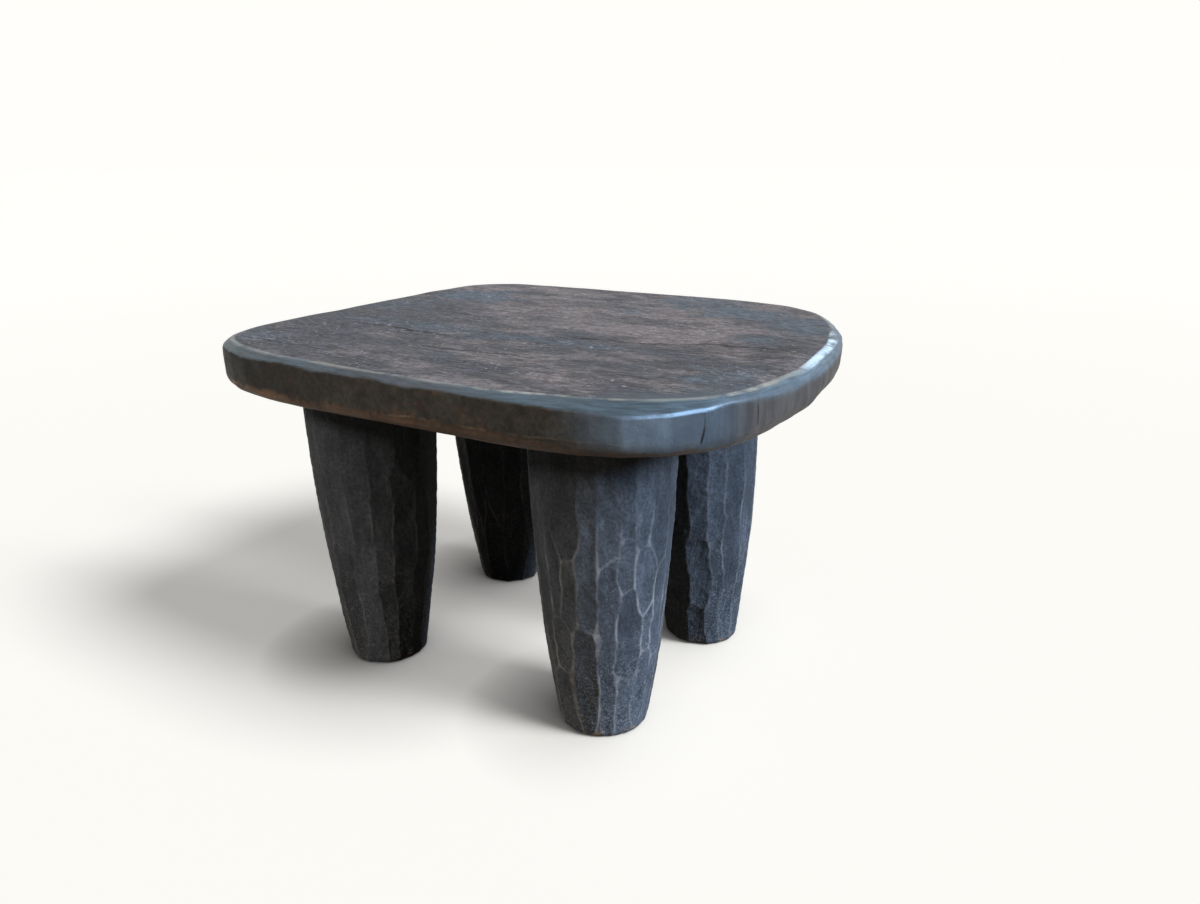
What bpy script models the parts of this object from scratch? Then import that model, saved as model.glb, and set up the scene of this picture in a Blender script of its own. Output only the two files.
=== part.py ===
"""Low wooden stool: a thick hewn slab on four bulging, adze-cut legs, joined by blind tenons.

Metres, +Z up. The origin is on the floor under the middle of the seat, and the seat's grain runs along X.
"""

import math
from dataclasses import dataclass

import bmesh
import bpy
import numpy as np
from mathutils import Vector

# Overall sizes
STOOL_HEIGHT = 0.280
SEAT_LENGTH = 0.458
SEAT_WIDTH = 0.413
SEAT_THICKNESS = 0.0355

# Seat edge, from the top down, and the hollow worn into the top
TOP_CHAMFER_WIDTH = 0.0055
TOP_CHAMFER_DROP = 0.0048
LOWER_BEVEL_WIDTH = 0.0145
LOWER_BEVEL_RISE = 0.0105
SEAT_HOLLOW = 0.0020
EDGE_FACETS = 56
TOP_RINGS = 4

# Seat plan: a larger squareness gives a tighter corner, and each side is turned a little, in radians
SQUARENESS_FRONT_RIGHT = 2.5
SQUARENESS_FRONT_LEFT = 5.4
SQUARENESS_BACK_LEFT = 7.9
SQUARENESS_BACK_RIGHT = 2.0
TURN_RIGHT_SIDE = 0.100
TURN_BACK_SIDE = 0.030
TURN_LEFT_SIDE = 0.025
TURN_FRONT_SIDE = -0.017
OUTLINE_SAMPLES = 720

# Legs, shared sizes
LEG_FOOT_RADIUS = 0.0332
LEG_BELLY_RADIUS = 0.0470
LEG_BELLY_HEIGHT = 0.1220
LEG_TOP_RADIUS = 0.0520
FOOT_CHAMFER_WIDTH = 0.0033
FOOT_CHAMFER_RISE = 0.0075
LEG_FACETS = 14
CUT_ROWS = 4
CUT_HEIGHT_SCATTER = 0.008
CUT_DEPTH_SCATTER = 0.0005
CUT_ANGLE_SCATTER = 0.16
SMALLEST_EDGE = 0.0001

# Each leg's place: the middle of its top, in from the seat's end and from its front or back side
FRONT_RIGHT_FROM_END = 0.1341
FRONT_RIGHT_FROM_SIDE = 0.1133
FRONT_LEFT_FROM_END = 0.1101
FRONT_LEFT_FROM_SIDE = 0.1034
BACK_RIGHT_FROM_END = 0.1368
BACK_RIGHT_FROM_SIDE = 0.1422
BACK_LEFT_FROM_END = 0.1098
BACK_LEFT_FROM_SIDE = 0.1384

# How far a foot stands outward from straight below the leg's top, and how much stouter a leg is
BACK_RIGHT_KICK_TO_END = 0.0132
BACK_LEFT_KICK_TO_END = -0.0035
BACK_LEFT_KICK_TO_SIDE = 0.0053
FRONT_RIGHT_EXTRA_RADIUS = 0.0018
BACK_LEFT_EXTRA_RADIUS = -0.0019

# Joint between a leg and the seat
TENON_RADIUS = 0.0190
TENON_LENGTH = 0.0200
TENON_ROOT = 0.0100
TENON_SIDES = 32
FIT_GAP = 0.0003

# Wood
SEAT_COLOUR = (0.125, 0.120, 0.122)
SEAT_ROUGHNESS = 0.55
LEG_COLOUR = (0.040, 0.040, 0.042)
LEG_ROUGHNESS = 0.50
SHARP_ANGLE = math.radians(14)

# Heights that follow from the sizes above
UNDERSIDE = STOOL_HEIGHT - SEAT_THICKNESS
SHOULDER = UNDERSIDE - FIT_GAP


@dataclass(frozen=True)
class Leg:
    """One leg: the end and side of the seat that it stands near, its place from them, and how it differs.

    The end is 1 at the right and -1 at the left, and the side is 1 at the back and -1 at the front.
    """

    name: str
    end: int
    side: int
    from_end: float
    from_side: float
    pattern: int
    kick_to_end: float = 0.0
    kick_to_side: float = 0.0
    girth: float = 0.0

    @property
    def top(self):
        """The middle of the leg's top in plan."""
        along = self.end * (SEAT_LENGTH / 2 - self.from_end)
        return along, self.side * (SEAT_WIDTH / 2 - self.from_side)

    @property
    def foot(self):
        """The middle of the leg's foot in plan."""
        return self.top[0] + self.end * self.kick_to_end, self.top[1] + self.side * self.kick_to_side


LEGS = (
    Leg(
        "leg_front_right",
        end=1,
        side=-1,
        from_end=FRONT_RIGHT_FROM_END,
        from_side=FRONT_RIGHT_FROM_SIDE,
        pattern=1,
        girth=FRONT_RIGHT_EXTRA_RADIUS,
    ),
    Leg(
        "leg_front_left",
        end=-1,
        side=-1,
        from_end=FRONT_LEFT_FROM_END,
        from_side=FRONT_LEFT_FROM_SIDE,
        pattern=2,
    ),
    Leg(
        "leg_back_right",
        end=1,
        side=1,
        from_end=BACK_RIGHT_FROM_END,
        from_side=BACK_RIGHT_FROM_SIDE,
        pattern=3,
        kick_to_end=BACK_RIGHT_KICK_TO_END,
    ),
    Leg(
        "leg_back_left",
        end=-1,
        side=1,
        from_end=BACK_LEFT_FROM_END,
        from_side=BACK_LEFT_FROM_SIDE,
        pattern=4,
        kick_to_end=BACK_LEFT_KICK_TO_END,
        kick_to_side=BACK_LEFT_KICK_TO_SIDE,
        girth=BACK_LEFT_EXTRA_RADIUS,
    ),
)


def clear_scene():
    """Remove every object that the file holds."""
    for old in list(bpy.data.objects):
        bpy.data.objects.remove(old, do_unlink=True)


def wood(name, colour, roughness):
    """A plain wood material."""
    material = bpy.data.materials.new(name)
    material.use_nodes = True
    shader = material.node_tree.nodes["Principled BSDF"]
    shader.inputs["Base Color"].default_value = (*colour, 1.0)
    shader.inputs["Roughness"].default_value = roughness
    shader.inputs["Metallic"].default_value = 0.0
    return material


def add_object(name, bm, parent=None, material=None):
    """Turn a bmesh into a named object with crisp edges between its hewn facets."""
    bmesh.ops.recalc_face_normals(bm, faces=bm.faces)
    mesh = bpy.data.meshes.new(name)
    bm.to_mesh(mesh)
    bm.free()
    mesh.shade_smooth()
    mesh.set_sharp_from_angle(angle=SHARP_ANGLE)
    if material:
        mesh.materials.append(material)
    obj = bpy.data.objects.new(name, mesh)
    obj.parent = parent
    bpy.context.scene.collection.objects.link(obj)
    return obj


def add_cylinder(name, radius, bottom, top, place, parent):
    """A helper cylinder, used to cut a mortise or to grow a tenon."""
    bm = bmesh.new()
    bmesh.ops.create_cone(
        bm, cap_ends=True, segments=TENON_SIDES, radius1=radius, radius2=radius, depth=top - bottom
    )
    helper = add_object(name, bm, parent)
    helper.location = (place[0], place[1], (top + bottom) / 2)
    helper.hide_render = True
    helper.display_type = "WIRE"
    return helper


def add_boolean(obj, helper, operation):
    """Cut the helper out of the object, or join it on."""
    modifier = obj.modifiers.new(helper.name, "BOOLEAN")
    modifier.object = helper
    modifier.operation = operation
    modifier.solver = "EXACT"


def seat_outline():
    """The seat's plan as an array of points, evenly spaced, one for each hewn facet of its edge.

    Four sides are blended round the middle: the radius at an angle is the p-norm of the distances to the sides, and
    the power, which is the squareness, changes smoothly from one corner to the next.
    """
    angle = np.linspace(0.0, 2 * math.pi, OUTLINE_SAMPLES, endpoint=False)
    right = (1 + np.cos(angle)) / 2
    back = (1 + np.sin(angle)) / 2
    power = (
        SQUARENESS_BACK_RIGHT * right * back
        + SQUARENESS_FRONT_RIGHT * right * (1 - back)
        + SQUARENESS_BACK_LEFT * (1 - right) * back
        + SQUARENESS_FRONT_LEFT * (1 - right) * (1 - back)
    )
    turns = (TURN_RIGHT_SIDE, TURN_BACK_SIDE, TURN_LEFT_SIDE, TURN_FRONT_SIDE)
    reach = np.zeros_like(angle)
    for side, turn in enumerate(turns):
        reach += np.cos(angle - side * math.pi / 2 - turn).clip(min=0.0) ** power
    radius = reach ** (-1 / power)
    points = np.stack([radius * np.cos(angle), radius * np.sin(angle)], axis=1)
    low, high = points.min(axis=0), points.max(axis=0)
    points = (points - (low + high) / 2) / (high - low) * (SEAT_LENGTH, SEAT_WIDTH)

    loop = np.vstack([points, points[:1]])
    walked = np.concatenate([[0.0], np.hypot(*np.diff(loop, axis=0).T).cumsum()])
    stops = np.linspace(0.0, walked[-1], EDGE_FACETS, endpoint=False)
    return np.stack([np.interp(stops, walked, loop[:, i]) for i in range(2)], axis=1)


def inset(outline, width):
    """The outline moved inward by a width, square to its own direction."""
    along = np.roll(outline, -1, axis=0) - np.roll(outline, 1, axis=0)
    along /= np.hypot(*along.T)[:, None]
    inward = np.stack([-along[:, 1], along[:, 0]], axis=1)
    return outline + inward * width


def seat_rings():
    """The seat's rings from the middle of its top, over the edge and down to its underside."""
    outline = seat_outline()
    rim = inset(outline, TOP_CHAMFER_WIDTH)
    rings = []
    for ring in range(1, TOP_RINGS):
        share = ring / TOP_RINGS
        rings.append((rim * share, STOOL_HEIGHT - SEAT_HOLLOW * (1 - share**2)))
    rings.append((rim, STOOL_HEIGHT))
    rings.append((outline, STOOL_HEIGHT - TOP_CHAMFER_DROP))
    rings.append((outline, UNDERSIDE + LOWER_BEVEL_RISE))
    rings.append((inset(outline, LOWER_BEVEL_WIDTH), UNDERSIDE))
    return rings


def build_seat(parent):
    """The slab, lofted from its rings, with a blind mortise under each leg's place."""
    bm = bmesh.new()
    middle = bm.verts.new((0.0, 0.0, STOOL_HEIGHT - SEAT_HOLLOW))
    loops = [[bm.verts.new((x, y, height)) for x, y in ring] for ring, height in seat_rings()]
    for i in range(EDGE_FACETS):
        j = (i + 1) % EDGE_FACETS
        bm.faces.new((middle, loops[0][i], loops[0][j]))
        for upper, lower in zip(loops, loops[1:]):
            bm.faces.new((upper[i], lower[i], lower[j], upper[j]))
    bm.faces.new(loops[-1])
    seat = add_object("seat", bm, parent, wood("seat_wood", SEAT_COLOUR, SEAT_ROUGHNESS))
    for leg in LEGS:
        cutter = add_cylinder(
            "mortise_" + leg.name,
            TENON_RADIUS + FIT_GAP,
            UNDERSIDE - TENON_ROOT,
            UNDERSIDE + TENON_LENGTH,
            leg.top,
            parent,
        )
        add_boolean(seat, cutter, "DIFFERENCE")


def leg_profile():
    """The bulging profile: a parabola that gives the radius from the height, through foot, belly and top."""
    heights = (FOOT_CHAMFER_RISE, LEG_BELLY_HEIGHT, SHOULDER)
    return np.poly1d(np.polyfit(heights, (LEG_FOOT_RADIUS, LEG_BELLY_RADIUS, LEG_TOP_RADIUS), 2))


def cut_planes(leg):
    """Each adze cut's point, from the leg's own middle, and outward normal.

    Rows of flat cuts touch the bulging profile. Each row is turned half a facet from the one below, so the cuts meet
    in long six-sided cells, and a steeper row breaks the edge of the foot.
    """
    scatter = np.random.default_rng(leg.pattern)
    profile = leg_profile()
    slope = profile.deriv()
    pitch = 2 * math.pi / LEG_FACETS
    flat_share = (1 + math.cos(pitch / 2)) / 2
    for row in range(CUT_ROWS):
        for facet in range(LEG_FACETS):
            turn, rise, depth = scatter.uniform(-1.0, 1.0, 3)
            angle = pitch * (facet + row % 2 / 2 + CUT_ANGLE_SCATTER * turn)
            height = SHOULDER * (row + 0.5) / CUT_ROWS + CUT_HEIGHT_SCATTER * rise
            radius = (profile(height) + leg.girth) * flat_share + CUT_DEPTH_SCATTER * depth
            out = Vector((math.cos(angle), math.sin(angle), 0.0))
            yield out * radius + Vector((0.0, 0.0, height)), out - Vector((0.0, 0.0, slope(height)))
    edge = (profile(FOOT_CHAMFER_RISE) + leg.girth) * flat_share - FOOT_CHAMFER_WIDTH
    for facet in range(LEG_FACETS):
        angle = pitch * (facet + 0.5)
        out = Vector((math.cos(angle), math.sin(angle), 0.0))
        yield out * edge, out * FOOT_CHAMFER_RISE - Vector((0.0, 0.0, FOOT_CHAMFER_WIDTH))


def build_leg(leg, parent, material):
    """A square blank hewn by its cuts, leaned from foot to top, with a round tenon on its shoulder."""
    bm = bmesh.new()
    bmesh.ops.create_cube(bm, size=1.0)
    side = 4 * (LEG_TOP_RADIUS + leg.girth)
    bmesh.ops.scale(bm, vec=(side, side, SHOULDER), verts=bm.verts)
    bmesh.ops.translate(bm, vec=(0.0, 0.0, SHOULDER / 2), verts=bm.verts)
    for point, normal in cut_planes(leg):
        cut = bmesh.ops.bisect_plane(
            bm,
            geom=bm.verts[:] + bm.edges[:] + bm.faces[:],
            plane_co=point,
            plane_no=normal,
            clear_outer=True,
        )
        edges = [item for item in cut["geom_cut"] if isinstance(item, bmesh.types.BMEdge)]
        if edges:
            bmesh.ops.edgeloop_fill(bm, edges=edges)
    bmesh.ops.dissolve_degenerate(bm, dist=SMALLEST_EDGE, edges=bm.edges)
    for vert in bm.verts:
        share = vert.co.z / SHOULDER
        vert.co.x += (leg.top[0] - leg.foot[0]) * share
        vert.co.y += (leg.top[1] - leg.foot[1]) * share
    obj = add_object(leg.name, bm, parent, material)
    obj.location = (*leg.foot, 0.0)
    tenon = add_cylinder(
        "tenon_" + leg.name, TENON_RADIUS, SHOULDER - TENON_ROOT, SHOULDER + TENON_LENGTH, leg.top, parent
    )
    add_boolean(obj, tenon, "UNION")


def main():
    """Build the stool under one empty."""
    clear_scene()
    stool = bpy.data.objects.new("stool", None)
    bpy.context.scene.collection.objects.link(stool)
    build_seat(stool)
    leg_wood = wood("leg_wood", LEG_COLOUR, LEG_ROUGHNESS)
    for leg in LEGS:
        build_leg(leg, stool, leg_wood)


main()
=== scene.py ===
"""Looks of a low hewn stool: a dark worn slab on four adze-cut legs, on a pale floor in soft light."""

import logging
import math
from dataclasses import dataclass, field
from enum import Enum
from functools import reduce
from typing import Any

import bpy
import numpy as np
from mathutils import Matrix, Vector


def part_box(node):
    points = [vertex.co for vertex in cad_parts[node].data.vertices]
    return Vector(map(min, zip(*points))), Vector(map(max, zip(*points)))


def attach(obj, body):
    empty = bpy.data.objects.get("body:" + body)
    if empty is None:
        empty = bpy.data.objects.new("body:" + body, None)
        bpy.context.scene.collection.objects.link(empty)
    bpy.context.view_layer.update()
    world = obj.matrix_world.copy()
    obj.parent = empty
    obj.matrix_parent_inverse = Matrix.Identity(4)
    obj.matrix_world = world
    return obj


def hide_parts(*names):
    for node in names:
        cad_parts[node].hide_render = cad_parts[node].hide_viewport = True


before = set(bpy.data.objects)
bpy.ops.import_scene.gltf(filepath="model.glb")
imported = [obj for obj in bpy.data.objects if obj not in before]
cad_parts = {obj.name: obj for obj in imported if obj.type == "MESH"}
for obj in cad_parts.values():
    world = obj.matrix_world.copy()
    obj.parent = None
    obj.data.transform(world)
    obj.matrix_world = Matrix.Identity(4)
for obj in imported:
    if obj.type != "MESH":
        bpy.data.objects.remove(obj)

LOG = logging.getLogger("stool")
BODY = "root"
MM = 0.001
TURN = 2.0 * math.pi

# Marks on the slab's top: its height in metres, and a reach that takes in any height.
TOP = 0.279
ANY_HEIGHT = 1.0
# Depth of the fine relief of both woods.
RELIEF_DEPTH = 0.25 * MM

Colour = tuple[float, float, float]
Point = tuple[float, float, float]
Span = tuple[float, float, float, float]
Array = np.ndarray


class Corner(Enum):
    """The corners of the stool, each with the name of the frame's leg there."""

    FRONT_RIGHT = "leg_front_right"
    FRONT_LEFT = "leg_front_left"
    BACK_RIGHT = "leg_back_right"
    BACK_LEFT = "leg_back_left"


class Slot(Enum):
    """The finishes that the record names."""

    SEAT = "seat_wood"
    LEG = "leg_wood"


# Arrays and meshes


def smooth_step(low: float, high: float, value: Array) -> Array:
    """Rise smoothly from 0 at low to 1 at high: 3 t squared less 2 t cubed.

    Args:
        low: Value where the step starts.
        high: Value where it ends.
        value: Array to test.

    Returns:
        An array of the same shape, from 0 to 1.
    """
    share = np.clip((value - low) / (high - low), 0.0, 1.0)
    return share * share * (3.0 - 2.0 * share)


@dataclass(frozen=True)
class Ripple:
    """Smooth unevenness: a sum of sine waves that run in random directions, of about one depth and one length."""

    depth: float
    length: float
    seed: int
    waves: int = 20

    def at(self, points: Array, shift: int = 0) -> Array:
        """Read the unevenness.

        Args:
            points: Array whose last axis holds x, y and z in metres.
            shift: Number added to the seed, which picks other directions.

        Returns:
            The unevenness at each point, on both sides of 0.
        """
        random = np.random.default_rng(self.seed + shift)
        directions = random.normal(size=(self.waves, 3))
        directions /= np.linalg.norm(directions, axis=1, keepdims=True)
        turns = TURN / (self.length * random.uniform(0.6, 1.8, self.waves))
        phases = random.uniform(0.0, TURN, self.waves)
        total = np.zeros(points.shape[:-1])
        for direction, turn, phase in zip(directions, turns, phases):
            total += np.sin(points @ direction * turn + phase)
        return total * math.sqrt(2.0 / self.waves) * self.depth


def steps(count: int) -> Array:
    """Even shares from the first step to 1."""
    return np.arange(1, count + 1) / count


def round_smooth(values: Array, spread: float) -> Array:
    """Blur an array along its first axis, which closes on itself, with a bell curve.

    Args:
        values: Array to blur.
        spread: Half-width of the bell, in steps.

    Returns:
        The blurred array.
    """
    reach = int(math.ceil(3 * spread))
    moves = np.arange(-reach, reach + 1)
    weights = np.exp(-0.5 * (moves / spread) ** 2)
    weights /= weights.sum()
    return sum(weight * np.roll(values, move, axis=0) for move, weight in zip(moves, weights))


def skin_faces(around: int, along: int) -> tuple[Array, Array]:
    """The faces of a closed skin: a band of quads between rings, and a fan at each end.

    The points are the first pole, then the rings in order, then the last pole.

    Args:
        around: Points in each ring.
        along: Number of rings.

    Returns:
        The corner indices of every face in one row, and each face's count of corners.
    """
    ring = np.arange(around)
    after = (ring + 1) % around
    start = 1 + np.arange(along - 1)[:, None] * around
    quads = np.stack(
        [start + ring, start + around + ring, start + around + after, start + after], axis=-1
    ).reshape(-1, 4)
    last = 1 + (along - 1) * around
    first_fan = np.stack([np.zeros_like(ring), 1 + ring, 1 + after], axis=-1)
    last_fan = np.stack([np.full_like(ring, last + around), last + after, last + ring], axis=-1)
    corners = np.concatenate([first_fan.ravel(), quads.ravel(), last_fan.ravel()])
    counts = np.concatenate([np.full(around, 3), np.full(len(quads), 4), np.full(around, 3)])
    return corners, counts


def add_object(name: str, data: bpy.types.ID) -> bpy.types.Object:
    """Make an object at the origin.

    Args:
        name: Its name.
        data: Its mesh, lamp or camera.

    Returns:
        The object, linked to the scene.
    """
    made = bpy.data.objects.new(name, data)
    bpy.context.scene.collection.objects.link(made)
    return made


def skin_object(name: str, rings: Array, values: dict[str, Array]) -> bpy.types.Object:
    """Make a closed, smooth-shaded mesh from rings, with a pole in the middle of the first and the last.

    Args:
        name: Name of the new object.
        rings: Array of rings by points by x, y, z, running so that faces point outward.
        values: Named values for each point of each ring, kept as attributes.

    Returns:
        The new object, linked to the scene.
    """
    along, around, _ = rings.shape
    points = np.concatenate([rings[:1].mean(axis=1), rings.reshape(-1, 3), rings[-1:].mean(axis=1)])
    corners, counts = skin_faces(around, along)
    mesh = bpy.data.meshes.new(name)
    mesh.vertices.add(len(points))
    mesh.vertices.foreach_set("co", points.astype(np.float32).ravel())
    mesh.loops.add(len(corners))
    mesh.loops.foreach_set("vertex_index", corners.astype(np.int32))
    mesh.polygons.add(len(counts))
    starts = np.concatenate([[0], np.cumsum(counts)[:-1]])
    mesh.polygons.foreach_set("loop_start", starts.astype(np.int32))
    mesh.update(calc_edges=True)
    for key, value in values.items():
        poles = [[value[end].mean(axis=0)] for end in (0, -1)]
        whole = np.concatenate([poles[0], value.reshape(-1, *value.shape[2:]), poles[1]])
        kind, member = ("FLOAT", "value") if whole.ndim == 1 else ("FLOAT_VECTOR", "vector")
        attribute = mesh.attributes.new(key, kind, "POINT")
        attribute.data.foreach_set(member, whole.astype(np.float32).ravel())
    mesh.shade_smooth()
    mesh.validate()
    return add_object(name, mesh)


# Shader nodes


@dataclass(frozen=True)
class Texture:
    """A mask from a noise: how fine the noise is, its finer layers and their strength, and where it is 0 and 1."""

    scale: float | Point
    detail: float
    roughness: float
    low: float
    high: float


@dataclass(frozen=True)
class Patch:
    """A soft spot: its middle and its reach along each axis, in metres."""

    middle: Point
    reach: Point


@dataclass(frozen=True)
class Band:
    """A band along an edge, for wear and painted highlights: its half-width and wander in metres, and how much is
    broken, 0 to 1.
    """

    width: float
    wander: float
    breaks: float


class Value:
    """A number, vector or colour that a node gives out. Sums with it add nodes to its tree."""

    def __init__(self, graph: "Graph", socket: bpy.types.NodeSocket) -> None:
        """Keep the output and the tree that it is in."""
        self.graph = graph
        self.socket = socket

    def __add__(self, other: Any) -> "Value":
        """Add a number."""
        return self.graph.math("ADD", self, other)

    def __sub__(self, other: Any) -> "Value":
        """Take a number away."""
        return self.graph.math("SUBTRACT", self, other)

    def __rsub__(self, other: float) -> "Value":
        """Take this away from a number."""
        return self.graph.math("SUBTRACT", other, self)

    def __mul__(self, other: Any) -> "Value":
        """Multiply by a number."""
        return self.graph.math("MULTIPLY", self, other)

    def __truediv__(self, other: Any) -> "Value":
        """Divide by a number."""
        return self.graph.math("DIVIDE", self, other)

    def __or__(self, other: Any) -> "Value":
        """The greater of two masks."""
        return self.graph.math("MAXIMUM", self, other)

    def __abs__(self) -> "Value":
        """Drop the sign."""
        return self.graph.math("ABSOLUTE", self)

    def step(self, low: Any, high: Any) -> "Value":
        """Rise smoothly from 0 at low to 1 at high."""
        inputs = {"Value": self, "From Min": low, "From Max": high}
        return self.graph.result("ShaderNodeMapRange", inputs, interpolation_type="SMOOTHSTEP")

    def ease(self, low: float, high: float) -> "Value":
        """Turn 0 to 1 into low to high."""
        return self.graph.result("ShaderNodeMapRange", {"Value": self, "To Min": low, "To Max": high})

    def mix(self, first: Any, second: Any) -> "Value":
        """Blend two colours: the first where this is 0, the second where it is 1."""
        first, second = (colour if isinstance(colour, Value) else (*colour, 1.0) for colour in (first, second))
        return self.graph.result("ShaderNodeMix", {0: self, 6: first, 7: second}, 2, data_type="RGBA")

    def shade(self, colour: Any, dark: float, light: float) -> "Value":
        """Multiply a colour by a level: dark where this is 0, light where it is 1."""
        return self.graph.scale(colour, self.ease(dark, light))


class Graph:
    """A node tree and short ways to add nodes to it."""

    NUMBER_RESULTS = ("DOT_PRODUCT", "DISTANCE", "LENGTH")

    def __init__(self, tree: bpy.types.NodeTree) -> None:
        """Keep the tree that nodes are added to."""
        self.tree = tree

    def fill(self, node: bpy.types.Node, inputs: dict[Any, Any]) -> None:
        """Set a node's inputs.

        Args:
            node: The node.
            inputs: Socket name or number to a plain value, or to a node's value to link.
        """
        for key, value in inputs.items():
            if isinstance(value, Value):
                self.tree.links.new(value.socket, node.inputs[key])
            else:
                node.inputs[key].default_value = value

    def node(self, kind: str, inputs: dict[Any, Any] | None = None, **settings: Any) -> bpy.types.Node:
        """Add a node.

        Args:
            kind: Blender's name for the node.
            inputs: What to fill its inputs with.
            **settings: Properties of the node itself.

        Returns:
            The new node.
        """
        node = self.tree.nodes.new(kind)
        for key, value in settings.items():
            setattr(node, key, value)
        self.fill(node, inputs or {})
        return node

    def result(self, kind: str, inputs: dict[Any, Any] | None = None, output: Any = 0, **settings: Any) -> Value:
        """Add a node and give one of its outputs."""
        return Value(self, self.node(kind, inputs, **settings).outputs[output])

    def results(self, kind: str, inputs: dict[Any, Any] | None = None, **settings: Any) -> dict[str, Value]:
        """Add a node and give its outputs by name."""
        return {socket.name: Value(self, socket) for socket in self.node(kind, inputs, **settings).outputs}

    def math(self, operation: str, first: Any, second: Any = 0.0) -> Value:
        """Do a sum with numbers."""
        return self.result("ShaderNodeMath", {0: first, 1: second}, operation=operation)

    def vector(self, operation: str, first: Any, second: Any = (0.0, 0.0, 0.0)) -> Value:
        """Do a sum with vectors, which gives a vector or, for a few sums, a number."""
        output = 1 if operation in self.NUMBER_RESULTS else 0
        return self.result("ShaderNodeVectorMath", {0: first, 1: second}, output, operation=operation)

    def scale(self, vector: Any, level: Any) -> Value:
        """Multiply a vector or a colour by a number."""
        return self.result("ShaderNodeVectorMath", {0: vector, "Scale": level}, operation="SCALE")

    def noise(self, vector: Value, scale: float | Point, detail: float, roughness: float) -> Value:
        """Add a noise texture.

        Args:
            vector: Where to read it.
            scale: How fine it is, as one number or one for each axis.
            detail: How many finer layers it has.
            roughness: How strong they are.

        Returns:
            Its value, which stays near 0.5.
        """
        if isinstance(scale, tuple):
            vector, scale = self.vector("MULTIPLY", vector, scale), 1.0
        inputs = {"Vector": vector, "Scale": scale, "Detail": detail, "Roughness": roughness}
        return self.result("ShaderNodeTexNoise", inputs)

    def jitter(self, vector: Value, scale: float, amount: Any) -> Value:
        """Move a vector about at random.

        Args:
            vector: The vector.
            scale: How fine the moves are.
            amount: About how far it moves, in metres.

        Returns:
            The moved vector.
        """
        inputs = {"Vector": vector, "Scale": scale, "Detail": 3.0}
        bend = self.result("ShaderNodeTexNoise", inputs, "Color")
        shift = self.vector("SUBTRACT", bend, (0.5, 0.5, 0.5))
        return self.vector("ADD", vector, self.scale(shift, amount))

    def texture(self, vector: Value, kind: Texture) -> Value:
        """Turn a noise into a mask from 0 to 1."""
        return self.noise(vector, kind.scale, kind.detail, kind.roughness).step(kind.low, kind.high)

    def blob(self, vector: Value, patch: Patch) -> Value:
        """A soft spot: 1 in its middle, falling to 0 at its reach along each axis."""
        away = self.vector("DIVIDE", self.vector("SUBTRACT", vector, patch.middle), patch.reach)
        return 1.0 - self.vector("LENGTH", away).step(0.2, 1.0)

    def attribute(self, name: str, output: str = "Fac") -> Value:
        """Read a value that the mesh keeps for each point."""
        return self.result("ShaderNodeAttribute", output=output, attribute_name=name)


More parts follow.
